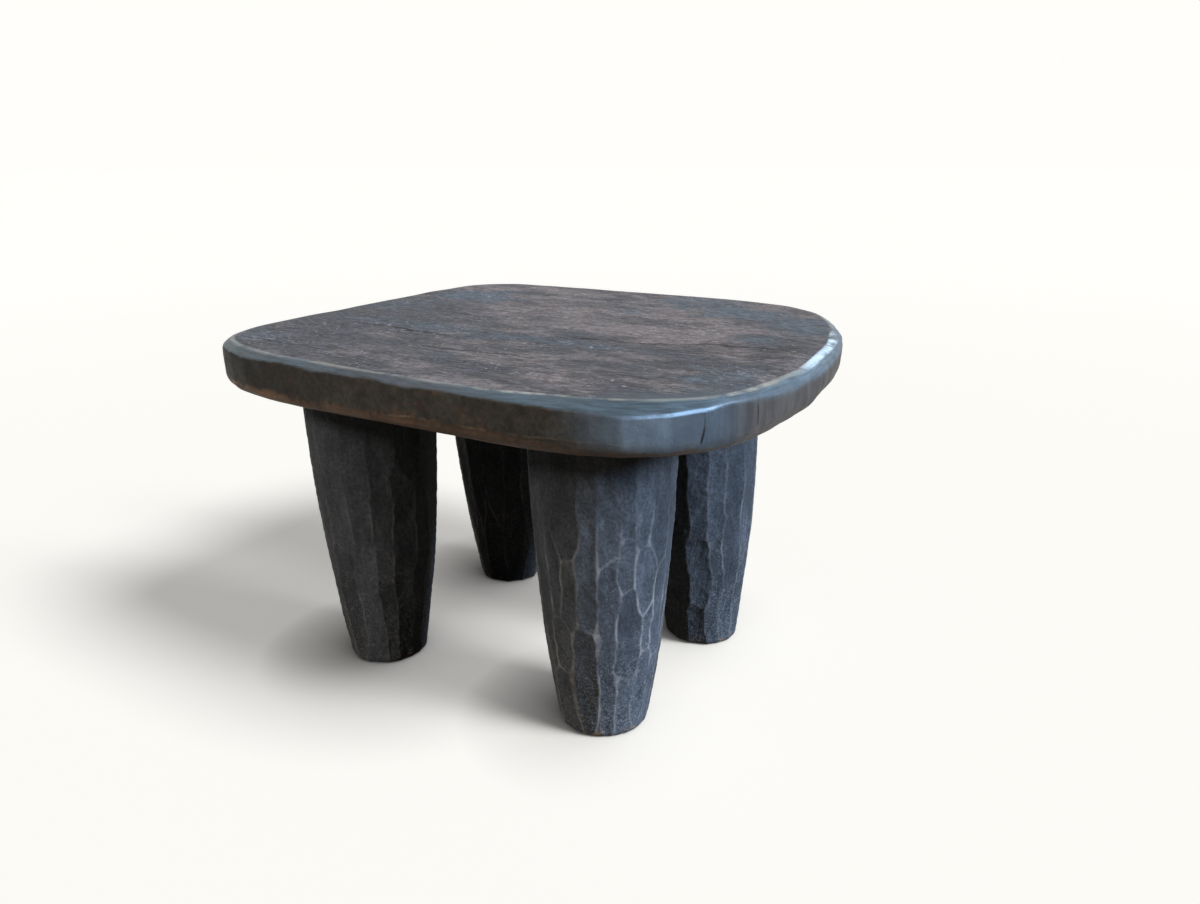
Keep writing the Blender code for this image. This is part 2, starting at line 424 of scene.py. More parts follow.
class Effects:
    """Node groups that the finishes place."""

    PATCH = Texture((17.0, 38.0, 38.0), 6.0, 0.66, 0.36, 0.64)
    STREAK = Texture((34.0, 130.0, 130.0), 6.0, 0.72, 0.34, 0.66)
    FIBRE = Texture((110.0, 330.0, 330.0), 4.0, 0.75, 0.30, 0.70)

    def __init__(self) -> None:
        """Build each group once."""
        self.grain = self.build_grain()
        self.wear_and_highlight_band = self.build_wear_and_highlight_band()
        self.crack = self.build_crack()
        self.crackle = self.build_crackle()

    @staticmethod
    def group(
        name: str, vectors: tuple[str, ...], numbers: tuple[str, ...], outputs: tuple[str, ...]
    ) -> tuple[Graph, dict[str, Value]]:
        """Start a node group.

        Args:
            name: Name of the group.
            vectors: Names of its vector inputs.
            numbers: Names of its number inputs.
            outputs: Names of its outputs, which are numbers.

        Returns:
            The group's tree, and its inputs by name.
        """
        tree = bpy.data.node_groups.new(name, "ShaderNodeTree")
        sockets = ((vectors, "INPUT", "Vector"), (numbers, "INPUT", "Float"), (outputs, "OUTPUT", "Float"))
        for keys, way, kind in sockets:
            for key in keys:
                tree.interface.new_socket(key, in_out=way, socket_type="NodeSocket" + kind)
        graph = Graph(tree)
        return graph, graph.results("NodeGroupInput")

    def build_grain(self) -> bpy.types.NodeTree:
        """Wood grain along the vector's first axis.

        Patch is a slow change of tone, Streak a drawn-out change across the grain, Fibre the fine lines, and Speck
        the sparse pale nicks that are drawn out a little along the grain.

        Returns:
            The group.
        """
        graph, given = self.group("wood_grain", ("Vector",), (), ("Patch", "Streak", "Fibre", "Speck"))
        bent = graph.jitter(given["Vector"], 9.0, 14.0 * MM)
        level = graph.noise(bent, (14.0, 26.0, 26.0), 2.0, 0.5) * -0.34 + 0.865
        outputs = {
            "Patch": graph.texture(bent, self.PATCH),
            "Streak": graph.texture(bent, self.STREAK),
            "Fibre": graph.texture(bent, self.FIBRE),
            "Speck": graph.noise(bent, (240.0, 420.0, 420.0), 2.0, 0.5).step(level, level + 0.05),
        }
        graph.node("NodeGroupOutput", outputs)
        return graph.tree

    def build_wear_and_highlight_band(self) -> bpy.types.NodeTree:
        """A band along an edge, for wear and painted highlights: some width round distance 0, wandering and broken
        in places.

        Returns:
            The group.
        """
        graph, given = self.group("wear_and_highlight_band", ("Vector",), ("Distance", "Width", "Wander", "Breaks"), ("Mask",))
        drift = graph.noise(given["Vector"], 70.0, 4.0, 0.65) - 0.5
        share = abs(drift * given["Wander"] + given["Distance"]) / given["Width"]
        gaps = graph.noise(given["Vector"], 45.0, 5.0, 0.7)
        kept = gaps.step(given["Breaks"] - 0.12, given["Breaks"] + 0.12)
        graph.node("NodeGroupOutput", {"Mask": (1.0 - share.step(0.3, 1.0)) * kept})
        return graph.tree

    def build_crack(self) -> bpy.types.NodeTree:
        """A wandering crack: points near the straight line from Start to End, thinning to its ends.

        Keep is 1 for the axes that count, and 0 for one that the crack runs straight through.

        Returns:
            The group.
        """
        graph, given = self.group("crack", ("Vector", "Start", "End", "Keep"), ("Width", "Wander"), ("Mask",))
        moved = graph.jitter(given["Vector"], 55.0, given["Wander"])
        run = graph.vector("SUBTRACT", given["End"], given["Start"])
        away = graph.vector("MULTIPLY", graph.vector("SUBTRACT", moved, given["Start"]), given["Keep"])
        share = graph.vector("DOT_PRODUCT", away, run) / graph.vector("DOT_PRODUCT", run, run)
        share = graph.result("ShaderNodeClamp", {"Value": share})
        distance = graph.vector("DISTANCE", away, graph.scale(run, share))
        width = given["Width"] * ((1.0 - share) * share * 3.0 + 0.25)
        graph.node("NodeGroupOutput", {"Mask": 1.0 - distance.step(width * 0.3, width)})
        return graph.tree

    def build_crackle(self) -> bpy.types.NodeTree:
        """Fine pale worm-like lines: where a noise crosses its middle value, kept only in some areas.

        Returns:
            The group.
        """
        graph, given = self.group("crackle", ("Vector",), ("Amount",), ("Mask",))
        line = 1.0 - abs(graph.noise(given["Vector"], 310.0, 2.5, 0.6) - 0.5).step(0.004, 0.028)
        low = 0.85 - given["Amount"] * 0.5
        kept = graph.noise(given["Vector"], 50.0, 4.0, 0.7).step(low, low + 0.2)
        graph.node("NodeGroupOutput", {"Mask": line * kept})
        return graph.tree


class Dresser:
    """Starts a material and places the shared effects in it."""

    def __init__(self, name: str, effects: Effects) -> None:
        """Start a material.

        Args:
            name: Name of the material.
            effects: The shared node groups.
        """
        self.effects = effects
        self.material = bpy.data.materials.new(name)
        self.material.use_nodes = True
        self.graph = Graph(self.material.node_tree)
        self.place = self.graph.result("ShaderNodeTexCoord", output="Object")

    def effect(self, tree: bpy.types.NodeTree, inputs: dict[str, Any]) -> dict[str, Value]:
        """Place a shared effect, at the object's own coordinates unless the inputs name others."""
        return self.graph.results("ShaderNodeGroup", {"Vector": self.place, **inputs}, node_tree=tree)

    def wear_and_highlight_band(self, distance: Value, band: Band) -> Value:
        """Place a band, used for wear and for painted highlights, where the distance from an edge is 0."""
        inputs = {"Distance": distance, "Width": band.width, "Wander": band.wander, "Breaks": band.breaks}
        return self.effect(self.effects.wear_and_highlight_band, inputs)["Mask"]

    def cracks(self, lines: tuple["Crack", ...], keep: Point) -> Value:
        """Place several cracks.

        Args:
            lines: The cracks.
            keep: 1 for each axis that counts, and 0 for one that the cracks run straight through.

        Returns:
            Where any of them is, from 0 to 1.
        """
        masks = []
        for line in lines:
            inputs = {"Start": line.start, "End": line.end, "Width": line.width, "Wander": line.wander, "Keep": keep}
            masks.append(self.effect(self.effects.crack, inputs)["Mask"])
        return reduce(Value.__or__, masks)

    def spots(self, vector: Value, spots: tuple["Spot", ...], start: Value) -> Value:
        """Add soft spots of tone to a value.

        Args:
            vector: Where to read the spots.
            spots: The spots.
            start: The value to add to.

        Returns:
            The sum.
        """
        total = start
        for spot in spots:
            blob = self.graph.blob(vector, Patch((*spot.middle, TOP), (*spot.reach, ANY_HEIGHT)))
            total = blob * spot.strength + total
        return total

    def finish(self, height: Value, inputs: dict[str, Any]) -> bpy.types.Material:
        """Join the results to the shader.

        Args:
            height: The relief, in shares of its depth.
            inputs: The shader's other inputs by name.

        Returns:
            The finished material.
        """
        relief = {"Height": height, "Distance": RELIEF_DEPTH, "Strength": 1.0}
        normal = self.graph.result("ShaderNodeBump", relief)
        self.graph.fill(self.material.node_tree.nodes["Principled BSDF"], {"Normal": normal, **inputs})
        return self.material


# Finishes


@dataclass(frozen=True)
class Crack:
    """A crack from one point to another, with its greatest half-width and its wander, in metres."""

    start: Point
    end: Point
    width: float
    wander: float


@dataclass(frozen=True)
class Spot:
    """A soft spot of tone on the top: its middle and its reach along and across the grain, and its strength."""

    middle: tuple[float, float]
    reach: tuple[float, float]
    strength: float


class SlabMarks:
    """What the layers of the slab's finish share: distances from edges, the slab's parts, and textures."""

    def __init__(self, dresser: Dresser, wood: "SeatWood") -> None:
        """Add the nodes.

        Args:
            dresser: The material.
            wood: The finish.
        """
        graph, place = dresser.graph, dresser.place
        self.grain = dresser.effect(dresser.effects.grain, {})
        self.along = graph.results("ShaderNodeSeparateXYZ", {0: place})["X"]
        self.edge_way = graph.attribute("edge_way", "Vector")
        self.from_rim = graph.attribute("from_rim")
        self.from_arris = graph.attribute("from_arris")
        self.from_bevel = graph.attribute("from_bevel")
        self.corner = graph.attribute("corner")
        self.end_grain = graph.attribute("end_grain")
        self.rounded = graph.attribute("rounded")
        self.forward = self.corner | self.along.step(0.07, 0.15)
        self.scuff = graph.texture(place, wood.scuff)
        self.scratch = graph.texture(self.edge_way, wood.scratch)
        self.blotch = graph.texture(place, wood.blotch)
        self.rough = graph.texture(place, wood.rough)
        # The top ends at the rim and the chamfer at the arris, each by a line that drifts.
        drift = graph.noise(place, 48.0, 4.0, 0.55) - 0.5
        self.on_rim = (drift * (1.5 * MM) + self.from_rim).step(-0.5 * MM, 0.5 * MM)
        blur = self.rounded * (4.0 * MM) + 1.3 * MM
        self.on_side = (drift * (8.0 * MM) + self.from_arris).step(blur * -1.0, blur)


@dataclass(frozen=True)
class SeatWood:
    """Worn dark slab: slate and brown on top, a blue-grey rim, near-black sides and bare brown lower edges."""

    slate: Colour = (0.070, 0.063, 0.060)
    brown: Colour = (0.194, 0.150, 0.127)
    blue: Colour = (0.091, 0.097, 0.099)
    pale: Colour = (0.440, 0.385, 0.350)
    # Painted light where the top rounds over into the chamfer near the front-right corner.
    margin_light: Colour = (0.080, 0.089, 0.089)
    # The rim's blue-grey is partly the chamfer's own colour and partly painted reflection.
    rim: Colour = (0.056, 0.074, 0.080)
    rim_middle: Colour = (0.076, 0.077, 0.079)
    rim_line: Colour = (0.340, 0.300, 0.225)
    # Painted highlight: the pale highlight and glint at the rim of the rounded right end.
    shine: Colour = (0.720, 0.780, 0.740)
    # Painted highlight: the blue-white line along the arris at the front corner, where the edge faces the window.
    arris: Colour = (0.440, 0.580, 0.700)
    side: Colour = (0.034, 0.029, 0.023)
    rust: Colour = (0.062, 0.038, 0.025)
    # Painted light: the corner's blue-grey stands in for window light where the side turns towards the end.
    corner: Colour = (0.082, 0.092, 0.098)
    end: Colour = (0.0505, 0.0405, 0.033)
    bevel: Colour = (0.082, 0.049, 0.031)
    bare: Colour = (0.190, 0.108, 0.062)
    bare_line: Colour = (0.330, 0.235, 0.150)
    crack: Colour = (0.012, 0.009, 0.008)
    specular: float = 0.07
    coat_roughness: float = 0.38
    margin_light_patch: Patch = Patch((0.185, -0.160, TOP), (0.080, 0.070, ANY_HEIGHT))
    rim_patch: Patch = Patch((0.0, -0.200, TOP), (0.110, 0.060, ANY_HEIGHT))
    highlight_patch: Patch = Patch((0.222, 0.020, TOP), (0.050, 0.100, ANY_HEIGHT))
    thick_patches: tuple[Patch, ...] = (
        Patch((0.115, -0.195, TOP), (0.075, 0.040, ANY_HEIGHT)),
        Patch((0.212, -0.115, TOP), (0.030, 0.045, ANY_HEIGHT)),
    )
    arris_lit_patch: Patch = Patch((0.191, -0.170, 0.273), (0.034, 0.040, 0.030))
    scar_patch: Patch = Patch((-0.118, -0.199, 0.2505), (0.042, 0.030, 0.006))
    rim_band: Band = Band(2.1 * MM, 2.0 * MM, 0.46)
    glint_band: Band = Band(2.2 * MM, 2.0 * MM, 0.46)
    arris_highlight_band: Band = Band(1.8 * MM, 1.2 * MM, 0.42)
    lower_band: Band = Band(2.4 * MM, 8.0 * MM, 0.54)
    lip_band: Band = Band(1.1 * MM, 6.0 * MM, 0.57)
    grit: Texture = Texture((260.0, 420.0, 420.0), 3.0, 0.75, 0.30, 0.70)
    scuff: Texture = Texture((90.0, 260.0, 260.0), 6.0, 0.8, 0.58, 0.72)
    pores: Texture = Texture((26.0, 480.0, 480.0), 4.0, 0.65, 0.57, 0.69)
    scratch: Texture = Texture((55.0, 55.0, 700.0), 4.0, 0.7, 0.34, 0.66)
    sparkle: Texture = Texture((240.0, 240.0, 900.0), 3.0, 0.7, 0.34, 0.66)
    blotch: Texture = Texture(95.0, 5.0, 0.68, 0.34, 0.66)
    rough: Texture = Texture(240.0, 4.0, 0.7, 0.32, 0.68)
    upright: Texture = Texture((150.0, 150.0, 16.0), 4.0, 0.6, 0.36, 0.64)
    rusting: Texture = Texture((38.0, 38.0, 83.6), 5.0, 0.7, 0.50, 0.68)
    warm_spots: tuple[Spot, ...] = (
        Spot((0.080, 0.012), (0.080, 0.042), 0.95),
        Spot((0.172, 0.005), (0.045, 0.040), -0.50),
        Spot((0.085, 0.110), (0.065, 0.035), 0.35),
        Spot((-0.185, -0.045), (0.085, 0.125), -0.70),
        Spot((-0.020, -0.140), (0.060, 0.025), -0.35),
        Spot((0.060, -0.040), (0.040, 0.022), 0.30),
        Spot((-0.035, 0.115), (0.035, 0.030), 0.35),
        Spot((0.200, -0.040), (0.030, 0.035), -0.35),
        Spot((-0.040, -0.090), (0.045, 0.022), 0.30),
        Spot((0.018, 0.031), (0.075, 0.045), 0.30),
        Spot((-0.132, 0.011), (0.080, 0.050), -0.40),
        Spot((0.184, -0.100), (0.040, 0.050), -0.25),
        Spot((-0.040, 0.050), (0.130, 0.070), 0.20),
        Spot((-0.150, 0.170), (0.090, 0.040), 0.25),
        Spot((0.160, -0.085), (0.055, 0.040), -0.40),
        Spot((-0.060, -0.180), (0.150, 0.030), -0.30),
        Spot((0.112, -0.160), (0.045, 0.040), 0.45),
        Spot((-0.130, -0.130), (0.100, 0.060), -0.60),
        Spot((-0.035, -0.050), (0.270, 0.032), -0.50),
    )
    blue_spots: tuple[Spot, ...] = (
        Spot((-0.163, 0.100), (0.070, 0.060), 0.90),
        Spot((-0.195, 0.020), (0.050, 0.050), 0.60),
        Spot((0.050, 0.163), (0.090, 0.055), 0.70),
        Spot((0.110, 0.127), (0.070, 0.040), 0.90),
        Spot((0.180, 0.095), (0.045, 0.075), 0.90),
        Spot((0.005, 0.103), (0.030, 0.022), 0.70),
        Spot((0.160, 0.020), (0.035, 0.030), 0.60),
        Spot((-0.030, -0.050), (0.240, 0.030), 0.60),
        Spot((0.190, -0.095), (0.050, 0.060), 0.70),
        Spot((-0.183, -0.150), (0.055, 0.035), 0.60),
    )
    top_cracks: tuple[Crack, ...] = (
        Crack((0.015, -0.034, 0.278), (0.118, -0.016, 0.278), 2.2 * MM, 0.012),
        Crack((0.110, -0.017, 0.278), (0.139, -0.004, 0.278), 2.0 * MM, 0.008),
        Crack((0.136, -0.007, 0.278), (0.218, -0.006, 0.278), 1.8 * MM, 0.014),
        Crack((-0.165, -0.070, 0.278), (-0.048, -0.072, 0.278), 2.0 * MM, 0.016),
        Crack((-0.058, -0.114, 0.278), (0.052, -0.112, 0.278), 1.9 * MM, 0.012),
        Crack((-0.200, -0.160, 0.278), (-0.100, -0.164, 0.278), 1.7 * MM, 0.012),
        Crack((0.204, 0.069, 0.279), (0.219, 0.060, 0.277), 1.2 * MM, 0.004),
    )
    side_cracks: tuple[Crack, ...] = (
        Crack((0.2005, -0.1582, 0.274), (0.1993, -0.1600, 0.247), 1.2 * MM, 0.005),
        Crack((0.2182, -0.1216, 0.272), (0.2184, -0.1211, 0.258), 1.2 * MM, 0.003),
        Crack((0.0300, -0.2061, 0.262), (0.0310, -0.2061, 0.250), 0.7 * MM, 0.004),
    )

    def paint_top(self, dresser: Dresser, marks: SlabMarks) -> Value:
        """Two stains in soft spots, with grain, grit, scuffs, open pores, painted light near one corner's rim, and
        cracks.

        Args:
            dresser: The material.
            marks: Its shared values.

        Returns:
            The colour of the top.
        """
        graph, place, grain = dresser.graph, dresser.place, marks.grain
        blotted = graph.jitter(place, 28.0, 60.0 * MM)
        warm = dresser.spots(blotted, self.warm_spots, grain["Patch"] * 0.90)
        colour = warm.step(-0.10, 1.15).mix(self.slate, self.brown)
        blue = dresser.spots(blotted, self.blue_spots, grain["Streak"] * 0.45)
        colour = blue.step(0.30, 1.30).mix(colour, self.blue)
        colour = grain["Fibre"].shade(grain["Streak"].shade(colour, 0.74, 1.26), 0.50, 1.50)
        colour = graph.texture(place, self.grit).shade(colour, 0.66, 1.34)
        colour = (marks.scuff * 0.30).mix(colour, self.pale)
        colour = (grain["Speck"] * 0.9).mix(colour, self.pale)
        colour = graph.texture(place, self.pores).shade(colour, 1.0, 0.36)
        # Painted light: a paler greenish grey where the top rounds over into the chamfer near the front-right
        # corner.
        margin_light = marks.from_rim.step(-30.0 * MM, -2.0 * MM) * graph.blob(blotted, self.margin_light_patch)
        colour = (margin_light * 0.85).mix(colour, self.margin_light)
        return dresser.cracks(self.top_cracks, keep=(1.0, 1.0, 0.0)).mix(colour, self.crack)

    def paint_rim(self, dresser: Dresser, marks: SlabMarks) -> Value:
        """A scratched chamfer, partly painted reflection, warmer mid-front, paler at the left, painted highlight at
        the right.

        Args:
            dresser: The material.
            marks: Its shared values.

        Returns:
            The colour of the chamfer.
        """
        colour = (dresser.graph.blob(dresser.place, self.rim_patch) * 0.7).mix(self.rim, self.rim_middle)
        colour = marks.scratch.shade(colour, 0.68, 1.30)
        colour = marks.along.step(-0.20, -0.08).shade(colour, 1.22, 1.0)
        # Painted highlight: the chamfer is lighter at the rounded right end.
        colour = marks.rounded.shade(colour, 1.0, 1.35)
        return marks.grain["Patch"].shade(colour, 0.85, 1.15)

    def paint_side(self, dresser: Dresser, marks: SlabMarks) -> Value:
        """A blotched, rusty side with painted shade to the left and painted blue-grey light at the corner, a brown
        bevel and cracks.

        Args:
            dresser: The material.
            marks: Its shared values.

        Returns:
            The colour of the side and of the bevel below it.
        """
        graph, place, blotch, rough = dresser.graph, dresser.place, marks.blotch, marks.rough
        colour = (graph.texture(place, self.rusting) * 0.7).mix(self.side, self.rust)
        colour = rough.shade(blotch.shade(colour, 0.72, 1.28), 0.74, 1.26)
        # Painted shade and light: darker towards the left end, which faces away from the window, and lighter to the
        # right.
        colour = marks.along.step(-0.19, 0.02).shade(colour, 0.26, 1.28)
        # Painted light: lighter blue-grey where the side turns towards the window at the corner.
        colour = marks.corner.mix(colour, blotch.shade(self.corner, 0.90, 1.08))
        upright = graph.texture(place, self.upright)
        colour = marks.end_grain.mix(colour, upright.shade(self.end, 0.85, 1.15))
        colour = upright.shade(colour, 0.94, 1.06)
        colour = graph.attribute("facet").shade(colour, 0.76, 1.30)
        bevel = rough.shade(blotch.shade(self.bevel, 0.70, 1.30), 0.78, 1.22)
        bevel = marks.forward.shade(bevel, 1.0, 0.65)
        lowered = marks.rounded * (-9.0 * MM) + (marks.forward * (-7.0 * MM) + marks.from_bevel)
        bevelled = (blotch * (4.0 * MM) + lowered).step(0.0, 4.5 * MM)
        colour = bevelled.mix(colour, bevel)
        return dresser.cracks(self.side_cracks, keep=(1.0, 1.0, 1.0)).mix(colour, self.crack)

    def paint_wear_and_highlights(self, dresser: Dresser, marks: SlabMarks, colour: Value) -> Value:
        """A pale rim line ending in a painted highlight and glint at the right end, a painted arris highlight at the
        corner, and bare lower edges.

        Args:
            dresser: The material.
            marks: Its shared values.
            colour: The colour before wear.

        Returns:
            The worn colour.
        """
        graph, place = dresser.graph, dresser.place
        # Painted highlight: the pale worn rim line turns whiter and stronger in the highlight patch at the right
        # end.
        shine = graph.blob(place, self.highlight_patch)
        thick = reduce(Value.__or__, [graph.blob(place, patch) for patch in self.thick_patches])
        line = dresser.wear_and_highlight_band(marks.from_rim, self.rim_band) * ((shine | thick) * 0.5 + 0.48)
        colour = line.mix(colour, shine.mix(self.rim_line, self.shine))
        # Painted glint on the rim at the right end.
        sparkle = graph.texture(marks.edge_way, self.sparkle).ease(0.6, 1.0)
        glint = dresser.wear_and_highlight_band(marks.from_rim - 1.2 * MM, self.glint_band) * shine * sparkle
        colour = glint.mix(colour, self.shine)
        # Painted highlight along the arris at the front corner, strongest in its patch.
        arris_lit = marks.corner * 0.04 | graph.blob(place, self.arris_lit_patch)
        edge = dresser.wear_and_highlight_band(marks.from_arris, self.arris_highlight_band) * arris_lit
        colour = (edge * 0.60).mix(colour, self.arris)
        scar = graph.blob(graph.jitter(place, 60.0, 12.0 * MM), self.scar_patch)
        colour = (scar * 0.7).mix(colour, self.bare)
        fewer = marks.forward * -0.7 + 1.0
        lower = dresser.wear_and_highlight_band(marks.from_bevel - 5.0 * MM, self.lower_band)
        colour = (lower * (fewer * 0.60)).mix(colour, self.bare)
        lip = dresser.wear_and_highlight_band(marks.from_bevel - 1.0 * MM, self.lip_band)
        return (lip * (fewer * 0.50)).mix(colour, self.bare_line)

    def material(self, effects: Effects) -> bpy.types.Material:
        """Build the finish.

        Args:
            effects: The shared node groups.

        Returns:
            The material.
        """
        dresser = Dresser("worn_slab", effects)
        marks = SlabMarks(dresser, self)
        colour = marks.on_rim.mix(self.paint_top(dresser, marks), self.paint_rim(dresser, marks))
        colour = marks.on_side.mix(colour, self.paint_side(dresser, marks))
        height = marks.scuff * 0.4 + (marks.grain["Fibre"] * 0.6 + marks.grain["Streak"] * 0.5)
        height *= marks.on_side.ease(1.0, 0.4)
        height = marks.scratch * (marks.on_rim - marks.on_side) * 0.7 + height
        inputs = {
            "Base Color": self.paint_wear_and_highlights(dresser, marks, colour),
            "Roughness": marks.grain["Streak"].ease(0.55, 0.70),
            "Coat Weight": (marks.on_rim - marks.on_side * 0.85) * 0.5 + 0.03,
            "Coat Roughness": self.coat_roughness,
            "Specular IOR Level": self.specular,
        }
        return dresser.finish(marks.rough * marks.on_side * 0.4 + height, inputs)


@dataclass(frozen=True)
class LegWood:
    """Near-black hewn legs with pale worn ridges between the cuts and a rough, speckled lower end."""

    stain: Colour = (0.0465, 0.048, 0.050)
    faded: Colour = (0.076, 0.078, 0.0815)
    ridge: Colour = (0.275, 0.250, 0.230)
    speck: Colour = (0.290, 0.275, 0.260)
    bare: Colour = (0.230, 0.150, 0.098)
    specular: float = 0.02
    coat_roughness: float = 0.42
    mottle: Texture = Texture(420.0, 4.0, 0.75, 0.30, 0.70)
    gaps: Texture = Texture(48.0, 4.0, 0.65, 0.36, 0.58)
    chips: Texture = Texture(130.0, 4.0, 0.7, 0.54, 0.60)

    def material(self, effects: Effects) -> bpy.types.Material:
        """Build the finish.

        Args:
            effects: The shared node groups.

        Returns:
            The material.
        """
        dresser = Dresser("hewn_leg", effects)
        graph, place = dresser.graph, dresser.place
        split = graph.results("ShaderNodeSeparateXYZ", {0: place})
        high = split["Z"]
        upright = graph.result("ShaderNodeCombineXYZ", {0: high, 1: split["X"], 2: split["Y"]})
        grain = dresser.effect(effects.grain, {"Vector": upright})
        colour = grain["Patch"].mix(self.stain, self.faded)
        colour = grain["Streak"].shade(colour, 0.84, 1.16)
        colour = graph.attribute("tone").shade(colour, 0.84, 1.16)
        mottle = graph.texture(place, self.mottle)
        colour = mottle.shade(colour, 0.72, 1.28)
        amount = (1.0 - high.step(30.0 * MM, 190.0 * MM)) * 0.68 + 0.37
        crackle = dresser.effect(effects.crackle, {"Amount": amount})["Mask"]
        colour = (crackle * 0.60).mix(colour, self.speck)
        ridge = graph.attribute("ridge") * graph.texture(place, self.gaps).ease(0.18, 1.0)
        ridge *= 1.0 - high.step(110.0 * MM, 210.0 * MM)
        colour = (ridge * 0.95).mix(colour, self.ridge)
        chips = graph.texture(place, self.chips) * (1.0 - high.step(4.0 * MM, 9.0 * MM))
        inputs = {
            "Base Color": chips.mix(colour, self.bare),
            "Roughness": grain["Streak"].ease(0.55, 0.68),
            "Coat Weight": ridge * 0.20,
            "Coat Roughness": self.coat_roughness,
            "Specular IOR Level": self.specular,
        }
        return dresser.finish(crackle * 0.6 + mottle * 0.8, inputs)


# Seat


@dataclass(frozen=True)
class Chamfer:
    """The worn top edge at one place: a share of the way round from +X, and its width and drop in millimetres."""

    share: float
    width: float
    drop: float


@dataclass(frozen=True)
class SlabLines:
    """The plans that the slab's skin runs between, and sizes at each point round them.

    The sizes are the drop of the chamfer, the rise and the width of the bevel, and the tone of the facet.
    """

    smooth: Array
    rim: Array
    upper: Array
    lower: Array
    drop: Array
    rise: Array
    bevel: Array
    tone: Array


@dataclass
class Seat:
    """The slab: a blended four-sided plan, a worn chamfer, hewn sides, a rounded lower edge and a flat underside.

    The squareness of a corner is 2 for a round one and more for a square one. The turns of the right, back, left
    and front sides are in radians. The bevel is as many times larger at the left and right ends as given there.
    """

    squareness: dict[Corner, float] = field(
        default_factory=lambda: {
            Corner.FRONT_RIGHT: 2.5,
            Corner.FRONT_LEFT: 5.4,
            Corner.BACK_LEFT: 7.9,
            Corner.BACK_RIGHT: 2.22,
        }
    )
    side_turns: tuple[float, float, float, float] = (0.100, 0.030, 0.025, -0.017)
    hollow: float = 2.0 * MM
    chamfers: tuple[Chamfer, ...] = (
        Chamfer(0.03, 5.5, 5.5),
        Chamfer(0.12, 7.0, 4.5),
        Chamfer(0.30, 6.5, 4.5),
        Chamfer(0.48, 5.5, 4.0),
        Chamfer(0.57, 4.5, 3.0),
        Chamfer(0.61, 6.0, 4.2),
        Chamfer(0.64, 8.5, 5.6),
        Chamfer(0.67, 7.0, 5.2),
        Chamfer(0.70, 5.8, 4.4),
        Chamfer(0.74, 5.4, 4.2),
        Chamfer(0.77, 5.5, 4.2),
        Chamfer(0.80, 6.0, 3.4),
        Chamfer(0.82, 10.0, 3.8),
        Chamfer(0.84, 13.0, 5.2),
        Chamfer(0.85, 12.8, 5.9),
        Chamfer(0.86, 11.5, 8.2),
        Chamfer(0.872, 9.2, 6.2),
        Chamfer(0.89, 6.4, 6.4),
        Chamfer(0.905, 4.2, 4.4),
        Chamfer(0.917, 3.6, 5.0),
        Chamfer(0.935, 4.8, 6.6),
        Chamfer(0.96, 5.6, 6.8),
        Chamfer(0.985, 5.8, 6.2),
    )
    bevel_width: float = 14.5 * MM
    bevel_rise: float = 12.0 * MM
    left_bevel: float = 0.74
    right_bevel: float = 1.75
    left_end: Span = (0.45, 0.55, 0.69, 0.76)
    right_end: Span = (0.90, 0.97, 0.05, 0.14)
    rounded_end: Span = (0.895, 0.93, 0.04, 0.08)
    chamfer_ripple: Ripple = Ripple(1.0, 0.035, 6)
    bevel_ripple: Ripple = Ripple(0.10, 0.10, 7)
    top_ripples: tuple[Ripple, ...] = (Ripple(0.20 * MM, 0.03, 8), Ripple(0.35 * MM, 0.09, 9))
    side_ripple: Ripple = Ripple(0.20 * MM, 0.022, 10)
    upper_seed: int = 11
    lower_seed: int = 12
    facet_length: float = 0.045
    facet_turn: float = math.radians(11)
    corner_facets: tuple[float, ...] = (0.815, 0.830, 0.842, 0.861, 0.878, 0.894, 0.909, 0.918, 0.935)
    rounding: int = 14
    around: int = 960
    top_rows: int = 36
    chamfer_rows: int = 9
    side_rows: int = 18
    bevel_rows: int = 13
    under_rows: int = 14

    def __post_init__(self) -> None:
        """Take the overall size from the frame's seat, and number the rows where the skin's parts meet."""
        low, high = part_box("seat")
        self.length, self.width = high.x - low.x, high.y - low.y
        self.top, self.underside = high.z, low.z
        self.shares = np.linspace(0.0, 1.0, self.around, endpoint=False)
        self.rim_row = self.top_rows - 1
        self.arris_row = self.rim_row + self.chamfer_rows
        self.bevel_row = self.arris_row + self.side_rows
        self.sole_row = self.bevel_row + self.bevel_rows

    def outline(self) -> Array:
        """The plan: the p-norm of the distances to four slightly turned sides, with a power for each corner.

        Returns:
            Points evenly spaced round the plan, counter-clockwise from the right.
        """
        angle = np.linspace(0.0, TURN, 4 * self.around, endpoint=False)
        right = (1.0 + np.cos(angle)) / 2.0
        back = (1.0 + np.sin(angle)) / 2.0
        power = (
            self.squareness[Corner.BACK_RIGHT] * right * back
            + self.squareness[Corner.FRONT_RIGHT] * right * (1.0 - back)
            + self.squareness[Corner.BACK_LEFT] * (1.0 - right) * back
            + self.squareness[Corner.FRONT_LEFT] * (1.0 - right) * (1.0 - back)
        )
        reach = np.zeros_like(angle)
        for side, turn in enumerate(self.side_turns):
            reach += np.cos(angle - side * TURN / 4.0 - turn).clip(min=0.0) ** power
        radius = reach ** (-1.0 / power)
        points = np.stack([radius * np.cos(angle), radius * np.sin(angle)], axis=1)
        low, high = points.min(axis=0), points.max(axis=0)
        points = (points - (low + high) / 2.0) / (high - low) * (self.length, self.width)
        return self.walk(points, self.shares)

    @staticmethod
    def walk(loop: Array, shares: Array) -> Array:
        """Read a closed line at shares of its length.

        Args:
            loop: Points of the line.
            shares: Where to read it, from 0 to 1.

        Returns:
            One point for each share.
        """
        closed = np.vstack([loop, loop[:1]])
        walked = np.concatenate([[0.0], np.hypot(*np.diff(closed, axis=0).T).cumsum()])
        walked /= walked[-1]
        return np.stack([np.interp(shares % 1.0, walked, closed[:, i]) for i in range(2)], axis=1)

